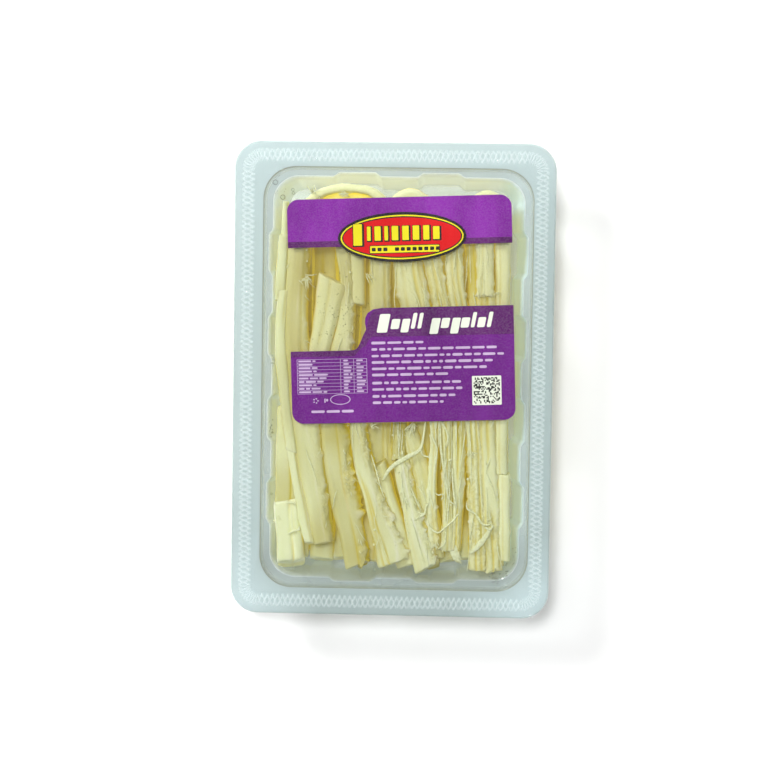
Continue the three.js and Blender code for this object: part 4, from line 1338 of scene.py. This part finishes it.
def add_whisker(maker, route, stick, draw):
    """Adds a short bent thread at a stick's torn edge."""
    start = draw.uniform(0.1, 0.97) * route.length
    run = draw.uniform(1.2, 3.8)
    q = (stick.side or draw.choice((-1, 1))) * draw.uniform(0.35, 1.0)
    drift, bow = draw.uniform(-0.5, 0.5), draw.uniform(-0.25, 0.25)
    points = []
    for share in (0, 1 / 3, 2 / 3, 1):
        sway = q + drift * share + bow * math.sin(share * math.pi)
        along = min(start + run * share, route.length + 1)
        points.append(top_place(route, stick, along, sway, 0.1 + 0.3 * draw.random()))
    width = draw.uniform(0.22, 0.5)
    maker.thread(points, (width, width, 0.6 * width), 0.5)


def add_crumb(maker, route, stick, draw):
    """Adds a crumb beside the middle of a stick's upper face."""
    along = draw.uniform(0.05, 0.97) * route.length
    q = draw.choice((-1, 1)) * draw.uniform(0.6, 1.05)
    maker.crumb(top_place(route, stick, along, q, 0.1), draw.uniform(0.2, 0.5))


def make_threads(settings, routes):
    """The ribbons, hairs, whiskers, tufts and crumbs on the top sticks, as one maker's mesh."""
    maker = StickMaker(settings, 500)
    for points, widths in RIBBONS:
        places = [(x, y, RIM_HEIGHT - depth - RIBBON_SINK) for x, y, depth in points]
        maker.thread(places, widths, RIBBON_HEIGHT)
    draw = random.Random(settings.seed)

    def scatter(counts, add):
        for name, count in counts.items():
            for _ in range(count):
                add(maker, *routes[name], draw)

    scatter(HAIRS, add_hair)
    scatter(WHISKERS, add_whisker)
    for tuft in TUFTS:
        add_tuft(maker, tuft, draw)
    scatter(CRUMBS, add_crumb)
    return maker


def make_core(material):
    """The hidden block in the middle of the bundle."""
    body = bmesh.new()
    bmesh.ops.create_cube(body, size=1.0)
    bmesh.ops.scale(body, vec=CORE_SIZE, verts=body.verts)
    bmesh.ops.translate(body, vec=(CAVITY_SHIFT.x, 0, CORE_MIDDLE), verts=body.verts)
    bmesh.ops.bevel(
        body, geom=body.edges, offset=CORE_BEVEL, segments=4, profile=0.5, affect="EDGES", material=-1
    )
    # Full painted shade and glow all over.
    crease, gap = (body.verts.layers.float.new(name) for name in ("crease", "gap"))
    for corner in body.verts:
        corner[crease] = corner[gap] = 1.0
    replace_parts(finish_piece("cheese_core", body, material), "cheese_bundle")


def make_cheese(settings):
    """The bundle: the top sticks, the folds, the lower layers, the threads and crumbs, and a core."""
    material = cheese_material("moist_cheese", settings)
    routes = {}
    left, right = STICKS[:LEFT_STICKS], STICKS[LEFT_STICKS:]
    for piece, skipped, sticks in (
        ("sticks_left", 0, left), ("sticks_right", 100, right), ("folded_sticks", 300, FOLDS),
    ):
        maker = StickMaker(settings, skipped)
        for stick in sticks:
            route = maker.add(stick, stick_painted_shade(stick.name), stick_painted_glow(stick.name))
            routes[stick.name] = (route, stick)
        finish_piece(piece, maker.body, material)

    maker = StickMaker(settings, 400)
    for stick in lower_layer_sticks():
        maker.add(stick, lower_painted_shade, lower_painted_glow, LAYER_COARSENESS)
    finish_piece("lower_sticks", maker.body, material)
    finish_piece("threads_and_crumbs", make_threads(settings, routes).body, material)
    make_core(material)


# ---------------------------------------------------------------- water beads

# Beads under the film as (x, y, radius).
BEADS = ((-50.4, 82.6, 1.15), (-47.2, 76.4, 1.1), (-43.0, 79.6, 0.7), (-42.7, 78.2, 0.7), (-50.5, -49, 0.5))
BEAD_PATCHES = (
    # Middle of a patch, its half sizes, how many beads and their largest radius.
    ((44.6, -83.0), (2.2, 4.0), 22, 0.42), ((50.0, -80.0), (1.0, 4.0), 14, 0.35),
    ((-50.6, 8.0), (1.2, 6.0), 24, 0.28), ((-50.8, -22.0), (1.1, 7.0), 22, 0.28),
    ((-49.0, 80.0), (4.0, 6.0), 14, 0.25), ((52.5, -72.0), (0.8, 5.0), 10, 0.3),
    ((-27.0, 28.0), (9.0, 16.0), 70, 0.30), ((-18.0, 26.0), (7.0, 14.0), 50, 0.28),
)
BEAD_STEPS = ((0.32, 1), (0.5, 2), (math.inf, 3))  # below each radius, how finely a bead is made
BEAD_FLATNESS, BEAD_GAP = 0.75, 0.02


def make_beads(settings):
    """Small water beads hanging under the film near the pack's edges."""
    draw = random.Random(settings.seed + 4)
    spots = list(BEADS)
    for (x, y), (reach_x, reach_y), count, largest in BEAD_PATCHES:
        for _ in range(count):
            spots.append((
                x + draw.gauss(0, 0.5) * reach_x, y + draw.gauss(0, 0.5) * reach_y,
                largest * draw.uniform(0.35, 1.0),
            ))
    body = bmesh.new()
    for x, y, radius in spots:
        place = Vector((x, y, FILM_UNDER - BEAD_GAP))
        made = bmesh.ops.create_icosphere(
            body, subdivisions=next(count for most, count in BEAD_STEPS if radius < most), radius=radius,
            matrix=Matrix.Translation(place),
        )["verts"]
        for corner in made:
            away = corner.co - place
            corner.co = place + Vector((away.x, away.y, min(0.0, away.z * BEAD_FLATNESS)))
    finish_piece("water_beads", body, water_material("water"))


# ---------------------------------------------------------------- label

FIELD_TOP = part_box("label_header")[1].z / MM
BADGE_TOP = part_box("label_badge")[1].z / MM
INK = 0.02
LABEL_GLOSS, LABEL_RIPPLE = 0.09, 0.07
# Heights of the printed layers over the fields and over the badge's oval.
BAND_RISE, PATCH_RISE, LETTER_RISE, CELL_RISE = 0.01, 0.03, 0.04, 0.055
BADGE_RISES = (0.01, 0.04, 0.07, 0.10, 0.13, 0.16)
MARGIN = 0.5
PRINT_X, PRINT_Y = LABEL_WIDTH / 2 - MARGIN, LABEL_HEIGHT / 2 - MARGIN
HEADER_FOOT, STRIPE_HEIGHT = PRINT_Y - 20.2, 2.5
# The lower field's band: its upper and lower edges left and right of the step.
PANEL_HIGH, PANEL_LOW = 1.0, -16.6
BAND_HIGH, BAND_LOW = -11.1, -19.0
OUTER_STEP, INNER_STEP = (-22.0, -8.0), (-20.5, -12.0)
# Strokes of the title as (place along it, width, how far above and below the row).
TITLE_ROW, TITLE_HEIGHT, TITLE_SLANT = -5.9, 4.2, 0.22
TITLE_STROKES = (
    (-7.6, 4.4, 2.2, 1.4), (-2.6, 3.5, 0, 0), (1.6, 3.3, 0, 1.5), (5.3, 1.7, 2.4, 0), (8.0, 1.6, 2.4, 0),
    (14.0, 3.6, 0, 2.4), (18.4, 3.4, 0, 0), (22.6, 3.4, 0, 2.4), (26.8, 3.5, 0, 0), (30.4, 1.6, 2.2, 0),
    (33.6, 3.2, 0, 0), (37.2, 1.7, 2.2, 0),
)
# Lines of small print as (height, left end, right end), and the height of their bars.
TEXT_LINES = (
    (-13.7, -13.0, 9.0), (-16.4, -13.0, 40.0), (-19.2, -13.0, 43.0), (-21.9, -13.0, 38.0),
    (-24.6, -13.0, 37.0), (-27.2, -13.0, 20.0), (-30.6, -13.0, 25.0), (-33.3, -13.0, 25.0),
    (-36.2, -13.0, 22.0), (-38.9, -13.0, 17.0),
)
TEXT_HEIGHT = 1.15
FOOT_LINE, FOOT_HEIGHT = (-42.2, -39.0, -21.0), 1.2
# The small table: its rows, and its columns as (left end, shortest, longest).
TABLE_ROWS, TABLE_PITCH, TABLE_FIRST, TABLE_RULE, TABLE_TEXT = 10, 1.45, -20.8, -20.1, 0.75
TABLE_COLUMNS = ((-44.0, 7, 15), (-25.0, 2, 4), (-19.5, 2, 4))
TABLE_MIDDLE, TABLE_SIZE = (-29.8, -27.35), (29.4, 14.6)
TABLE_UPRIGHTS = (-44.5, -26.2, -20.6, -15.1)
RULE_WIDTH, UPRIGHT_WIDTH = 0.14, 0.16
# Small marks under the table: a ring of dots, two bars and an oval ring.
DOTS, DOT_RING, DOT_TURN = (-37.0, -37.6), 0.9, 1.26
MARKS = ((-33.1, -37.6, 0.5, 1.8), (-32.2, -37.4, 0.9, 1.1))
RING_MIDDLE, RING_SIZES, RING_STEPS = (-26.6, -37.2), ((8.6, 4.4), (7.9, 3.8)), 40
# The square code.
CODE_MIDDLE, PATCH_SIZE, CODE_SIZE, CODE_CELLS, DARK_SHARE = (35.2, -34.6), 12.3, 11.0, 21, 0.47
PRINT_SEED = 23

BADGE_MIDDLE, BADGE_SIZE = (1.0, 30.5), (54.0, 21.0)
BADGE_INSETS = (2.4, 3.6, 4.6)  # of the keyline, the thin line and the field
STROKE_LIFT = 1.9
# Strokes in the badge as (place from its middle, rise, width, height).
BADGE_STROKES = (
    (-18.6, -0.6, 4.6, 9.0), (-13.9, -0.2, 1.9, 6.0), (-10.2, -0.2, 3.3, 6.0), (-6.6, -0.2, 1.9, 6.0),
    (-2.9, -0.2, 3.4, 6.0), (1.5, -0.2, 3.4, 6.0), (5.9, -0.2, 3.4, 6.0), (10.2, -0.2, 3.2, 6.0),
    (14.4, -0.4, 3.4, 5.4),
)
# The bar under the strokes, and the dashes on it.
FOOT_BAR, FOOT_BAR_SIZE = (1.0, -5.0), (29.0, 2.9)
DASH_START, DASH_PITCH, DASH_SIZE, DASHES, DASH_GAP = -12.0, 2.45, (1.7, 1.5), 12, 3


def put_on_label(body):
    """Turns and moves a body from the label's own axes to its place on the pack."""
    bmesh.ops.rotate(body, cent=(0, 0, 0), matrix=Matrix.Rotation(LABEL_TURN, 3, "Z"), verts=body.verts)
    bmesh.ops.translate(body, vec=(*LABEL_CENTRE, 0), verts=body.verts)


def oval(middle, size, count=72):
    """Points round an oval."""
    turns = [2 * math.pi * k / count for k in range(count)]
    return [(middle[0] + size[0] / 2 * math.cos(t), middle[1] + size[1] / 2 * math.sin(t)) for t in turns]


def bar(x, y, width, height, slant=0.0, corner=None, steps=4):
    """Points round a rounded bar, its top leaning to the right by slant times its height."""
    radius = min(width, height) / 2 * 0.98 if corner is None else corner
    points = []
    for side, (sx, sy) in enumerate(((1, -1), (1, 1), (-1, 1), (-1, -1))):
        for k in range(steps + 1):
            angle = (side - 1) * math.pi / 2 + k / steps * math.pi / 2
            px = sx * (width / 2 - radius) + radius * math.cos(angle)
            py = sy * (height / 2 - radius) + radius * math.sin(angle)
            points.append((x + px + slant * py, y + py))
    return points


def curve(start, first, second, end, steps=10):
    """Points on a bent line, without its last one."""
    ends = [Vector((*p, 0)) for p in (start, first, second, end)]
    return [(p.x, p.y) for p in interpolate_bezier(*ends, steps + 1)[:-1]]


def step_edge(low, high, foot, head):
    """The climbing edge from (foot, low) to (head, high), as the lower field's own edge runs."""
    middle = (foot + head) / 2
    half = (high + low) / 2
    rise = curve((foot, low), (middle - 3, low), (middle - 4, low + 1), (middle, half))
    return rise + curve((middle, half), (middle + 1, high - 5), (middle + 2, high), (head, high))


def make_print(name, outlines, low, ink):
    """A piece of print made of flat plates, on the label."""
    body = bmesh.new()
    faces = [body.faces.new([body.verts.new((x, y, low)) for x, y in outline]) for outline in outlines]
    raise_faces(body, faces, INK)
    put_on_label(body)
    finish_piece(name, body, ink, smooth=False)


def word_bars(draw, left, right, y, height, gap=0.75):
    """A row of small bars of uneven lengths, as plain stand-ins for words."""
    bars, x = [], left
    while x < right - 1.2:
        width = min(draw.uniform(1.6, 6.4), right - x)
        bars.append(bar(x + width / 2, y, width, height * draw.uniform(0.8, 1.0), steps=2))
        x += width + gap
    return bars


def make_bands(dark):
    """The stripe at the upper field's foot, and the band along the lower field's stepped edge."""
    foot, head = HEADER_FOOT, HEADER_FOOT + STRIPE_HEIGHT
    stripe = [(-PRINT_X, foot), (PRINT_X, foot), (PRINT_X, head), (-PRINT_X, head)]
    outer = step_edge(PANEL_LOW, PANEL_HIGH, *OUTER_STEP)
    inner = step_edge(BAND_LOW, BAND_HIGH, *INNER_STEP)
    band = [(-PRINT_X, PANEL_LOW), *outer, (OUTER_STEP[1], PANEL_HIGH), (PRINT_X, PANEL_HIGH)]
    band += [(PRINT_X, BAND_HIGH), (INNER_STEP[1], BAND_HIGH), *reversed(inner), (-PRINT_X, BAND_LOW)]
    make_print("dark_bands", [stripe, band], FIELD_TOP + BAND_RISE, dark)


def make_title(cream):
    """The title as slanted strokes, some of them taller or lower."""
    title = [
        bar(x, TITLE_ROW + (rise - drop) / 2, width, TITLE_HEIGHT + rise + drop, TITLE_SLANT, 0.55, 3)
        for x, width, rise, drop in TITLE_STROKES
    ]
    make_print("title_strokes", title, FIELD_TOP + LETTER_RISE, cream)


def make_small_print(lilac, draw):
    """The lines of small print, the small table and the marks under it."""
    lines = []
    for y, left, right in TEXT_LINES:
        lines += word_bars(draw, left, right, y, TEXT_HEIGHT)
    y, left, right = FOOT_LINE
    lines += word_bars(draw, left, right, y, FOOT_HEIGHT)
    for k in range(TABLE_ROWS):
        for left, shortest, longest in TABLE_COLUMNS:
            right = left + draw.uniform(shortest, longest)
            lines += word_bars(draw, left, right, TABLE_FIRST - TABLE_PITCH * k, TABLE_TEXT, 0.5)
    for k in range(TABLE_ROWS + 1):
        y = TABLE_RULE - TABLE_PITCH * k
        lines.append(bar(TABLE_MIDDLE[0], y, TABLE_SIZE[0], RULE_WIDTH, corner=0.02, steps=1))
    for x in TABLE_UPRIGHTS:
        lines.append(bar(x, TABLE_MIDDLE[1], UPRIGHT_WIDTH, TABLE_SIZE[1], corner=0.02, steps=1))
    for k in range(5):
        x = DOTS[0] + DOT_RING * math.cos(k * DOT_TURN)
        y = DOTS[1] + DOT_RING * math.sin(k * DOT_TURN)
        lines.append(bar(x, y, 0.7, 0.5, steps=2))
    lines += [bar(*mark, steps=2) for mark in MARKS]
    make_print("small_print", lines, FIELD_TOP + LETTER_RISE, lilac)


def make_oval_ring(lilac):
    """The thin oval ring under the table."""
    body = bmesh.new()
    edges = []
    for size in RING_SIZES:
        outline = oval(RING_MIDDLE, size, RING_STEPS)
        line = [body.verts.new((x, y, FIELD_TOP + LETTER_RISE)) for x, y in outline]
        edges += [body.edges.new(pair) for pair in zip(line, line[1:] + line[:1])]
    faces = bmesh.ops.bridge_loops(body, edges=edges)["faces"]
    bmesh.ops.recalc_face_normals(body, faces=faces)
    raise_faces(body, faces, INK)
    put_on_label(body)
    finish_piece("oval_ring", body, lilac, smooth=False)


def make_code(cream, black, draw):
    """The square code: a pale patch with dark cells."""
    x, y = CODE_MIDDLE
    patch = bar(x, y, PATCH_SIZE, PATCH_SIZE, corner=0.3, steps=1)
    make_print("code_patch", [patch], FIELD_TOP + PATCH_RISE, cream)
    cell, middle = CODE_SIZE / CODE_CELLS, CODE_CELLS // 2
    cells = [
        bar(x + (column - middle) * cell, y + (row - middle) * cell, cell, cell, corner=0.01, steps=1)
        for row in range(CODE_CELLS) for column in range(CODE_CELLS) if draw.random() < DARK_SHARE
    ]
    make_print("code_cells", cells, FIELD_TOP + CELL_RISE, black)


def make_badge(yellow, black, red):
    """On the black oval: a yellow keyline, a thin black line, a red field, and bars in place of a name."""
    heights = [BADGE_TOP + rise for rise in BADGE_RISES]
    ovals = (("badge_keyline", yellow), ("badge_line", black), ("badge_field", red))
    for (name, ink), inset, z in zip(ovals, BADGE_INSETS, heights):
        outline = oval(BADGE_MIDDLE, [size - inset for size in BADGE_SIZE])
        make_print(name, [outline], z, ink)

    x, y = BADGE_MIDDLE
    strokes = [(x + at, y + STROKE_LIFT + rise, width, height) for at, rise, width, height in BADGE_STROKES]
    foot_x, foot_y = x + FOOT_BAR[0], y + FOOT_BAR[1]
    width, height = FOOT_BAR_SIZE
    shadow = [
        bar(at + 0.3, up - 0.2, 0.95 * w + 0.5, h + 0.7, corner=0.3, steps=2) for at, up, w, h in strokes
    ]
    shadow.append(bar(foot_x, foot_y, width + 0.6, height + 0.6, corner=0.5, steps=2))
    bars = [bar(at, up, 0.8 * w, h, corner=0.3, steps=2) for at, up, w, h in strokes]
    bars.append(bar(foot_x, foot_y, width, height, corner=0.3, steps=2))
    dashes = [
        bar(x + DASH_START + DASH_PITCH * k, foot_y, *DASH_SIZE, corner=0.3, steps=2)
        for k in range(DASHES) if k != DASH_GAP
    ]
    parts = (("badge_shadow", shadow, black), ("badge_bars", bars, yellow), ("badge_dashes", dashes, black))
    for (name, outlines, ink), z in zip(parts, heights[len(ovals):]):
        make_print(name, outlines, z, ink)


def make_label(settings):
    """Better ink on the label's CAD nodes, and the rest of its print as thin pieces."""
    film = clear_material(
        "clear_label_film", (settings.film, settings.film_edge), (settings.film_cloud, settings.film_cloud),
        settings.film_haze, LABEL_GLOSS, LABEL_RIPPLE,
    )
    purple = ink_material("purple_ink", settings.header, 0.09)
    deeper = ink_material("deeper_purple_ink", settings.panel, 0.08)
    dark = ink_material("dark_purple_ink", settings.band, 0.12)
    cream = ink_material("cream_ink", settings.cream, 0.04)
    lilac = ink_material("lilac_ink", settings.small_print, 0.06)
    red = ink_material("red_ink", settings.red, 0.04)
    yellow = ink_material("yellow_ink", settings.yellow, 0.04)
    black = ink_material("black_ink", settings.black, 0.1)
    for node, material in (
        ("label", film), ("label_header", purple), ("label_panel", deeper), ("label_badge", black),
    ):
        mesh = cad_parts[node].data
        mesh.materials.clear()
        mesh.materials.append(material)

    draw = random.Random(PRINT_SEED)
    make_bands(dark)
    make_title(cream)
    make_small_print(lilac, draw)
    make_oval_ring(lilac)
    make_code(cream, black, draw)
    make_badge(yellow, black, red)


# ---------------------------------------------------------------- stage

CAMERA_PLACE = (0.0337, 0.0425, 0.8353)
CAMERA_TURN = (-0.0572, 0.0440, 0.0153)
SENSOR, NEAREST, FARTHEST = 36.0, 0.01, 20.0
FLOOR_HALF = 2.5
# Lamps as (name, place, size). The key and the side light show in no reflection, the glints only there.
LAMPS = (
    ("key", (-0.13, 0.36, 1.6), 0.28), ("side", (-0.8, 0.7, 0.95), 0.35),
    ("near_glint", (0.5, -1.3, 1.2), 0.06), ("far_glint", (-0.6, 1.3, 1.2), 0.06),
)
LAMP_AIM = Vector((0, 0, 0.02))
CLEAR_LAYERS = 32  # how many clear faces a ray passes


def make_stage(settings):
    """Camera, floor, lights and the light from all round."""
    scene = bpy.context.scene
    data = bpy.data.cameras.new("camera")
    data.lens, data.sensor_width = settings.lens, SENSOR
    data.clip_start, data.clip_end = NEAREST, FARTHEST
    camera = bpy.data.objects.new("camera", data)
    camera.location, camera.rotation_euler = CAMERA_PLACE, CAMERA_TURN
    scene.collection.objects.link(camera)
    scene.camera = camera

    body = bmesh.new()
    bmesh.ops.create_grid(body, x_segments=1, y_segments=1, size=FLOOR_HALF)
    mesh = bpy.data.meshes.new("floor")
    body.to_mesh(mesh)
    body.free()
    mesh.materials.append(floor_material("lit_floor", settings.floor, settings.glow))
    floor = bpy.data.objects.new("floor", mesh)
    scene.collection.objects.link(floor)

    powers = (settings.key, settings.side, settings.glint, settings.glint)
    for (name, place, size), energy in zip(LAMPS, powers):
        lamp = bpy.data.lights.new(name, "AREA")
        lamp.shape, lamp.size, lamp.energy = "SQUARE", size, energy
        light = bpy.data.objects.new(name, lamp)
        light.location = place
        light.rotation_euler = (LAMP_AIM - Vector(place)).to_track_quat("-Z", "Y").to_euler()
        light.visible_camera = False
        light.visible_glossy = name.endswith("glint")
        light.visible_diffuse = not light.visible_glossy
        scene.collection.objects.link(light)

    world = bpy.data.worlds.new("sky")
    world.use_nodes = True
    background = world.node_tree.nodes["Background"].inputs
    background["Color"].default_value = rgba(WHITE)
    background["Strength"].default_value = settings.sky
    scene.world = world
    scene.view_settings.view_transform = "Standard"
    scene.cycles.transparent_max_bounces = CLEAR_LAYERS


# ---------------------------------------------------------------- operators


class CHEESEPACK_OT_tray(Operator):
    """Make the thermoformed tray"""

    bl_idname = "cheese_pack.tray"
    bl_label = "Tray"

    def execute(self, context):
        make_tray(context.scene.cheese_tray)
        return {"FINISHED"}


class CHEESEPACK_OT_film(Operator):
    """Make the lid film with its ridged seal and peel tab"""

    bl_idname = "cheese_pack.film"
    bl_label = "Lid Film"

    def execute(self, context):
        make_film(context.scene.cheese_film)
        return {"FINISHED"}


class CHEESEPACK_OT_cheese(Operator):
    """Make the bundle of cheese sticks"""

    bl_idname = "cheese_pack.cheese"
    bl_label = "Cheese Bundle"

    def execute(self, context):
        make_cheese(context.scene.cheese_sticks)
        return {"FINISHED"}


class CHEESEPACK_OT_beads(Operator):
    """Make the water beads under the film"""

    bl_idname = "cheese_pack.beads"
    bl_label = "Water Beads"

    def execute(self, context):
        make_beads(context.scene.cheese_sticks)
        return {"FINISHED"}


class CHEESEPACK_OT_label(Operator):
    """Make the label's print"""

    bl_idname = "cheese_pack.label"
    bl_label = "Label"

    def execute(self, context):
        make_label(context.scene.cheese_print)
        return {"FINISHED"}


class CHEESEPACK_OT_stage(Operator):
    """Make the camera, the floor and the lights"""

    bl_idname = "cheese_pack.stage"
    bl_label = "Stage"

    def execute(self, context):
        make_stage(context.scene.cheese_stage)
        return {"FINISHED"}


class CHEESEPACK_PT_panel(Panel):
    """Buttons and settings of the cheese pack"""

    bl_idname = "CHEESEPACK_PT_panel"
    bl_label = "Cheese Pack"
    bl_space_type = "VIEW_3D"
    bl_region_type = "UI"
    bl_category = "Cheese Pack"

    def draw(self, context):
        for name, operators in SECTIONS:
            box = self.layout.box()
            settings = getattr(context.scene, name)
            for operator in operators:
                box.operator(operator)
            for key in settings.__annotations__:
                box.prop(settings, key)


SECTIONS = (
    ("cheese_tray", ("cheese_pack.tray",)),
    ("cheese_film", ("cheese_pack.film",)),
    ("cheese_sticks", ("cheese_pack.cheese", "cheese_pack.beads")),
    ("cheese_print", ("cheese_pack.label",)),
    ("cheese_stage", ("cheese_pack.stage",)),
)
GROUPS = {
    "cheese_tray": TraySettings, "cheese_film": FilmSettings, "cheese_sticks": CheeseSettings,
    "cheese_print": PrintSettings, "cheese_stage": StageSettings,
}
CLASSES = (
    *GROUPS.values(), CHEESEPACK_OT_tray, CHEESEPACK_OT_film, CHEESEPACK_OT_cheese,
    CHEESEPACK_OT_beads, CHEESEPACK_OT_label, CHEESEPACK_OT_stage, CHEESEPACK_PT_panel,
)


def register():
    """Registers the classes and the scene's settings."""
    for cls in CLASSES:
        bpy.utils.register_class(cls)
    for name, group in GROUPS.items():
        setattr(bpy.types.Scene, name, PointerProperty(type=group))


def unregister():
    """Removes the scene's settings and the classes."""
    for name in GROUPS:
        delattr(bpy.types.Scene, name)
    for cls in reversed(CLASSES):
        bpy.utils.unregister_class(cls)


def main():
    """Makes every piece and the stage."""
    register()
    for _, operators in SECTIONS:
        for operator in operators:
            group, name = operator.split(".")
            getattr(getattr(bpy.ops, group), name)()


if __name__ == "__main__":
    main()
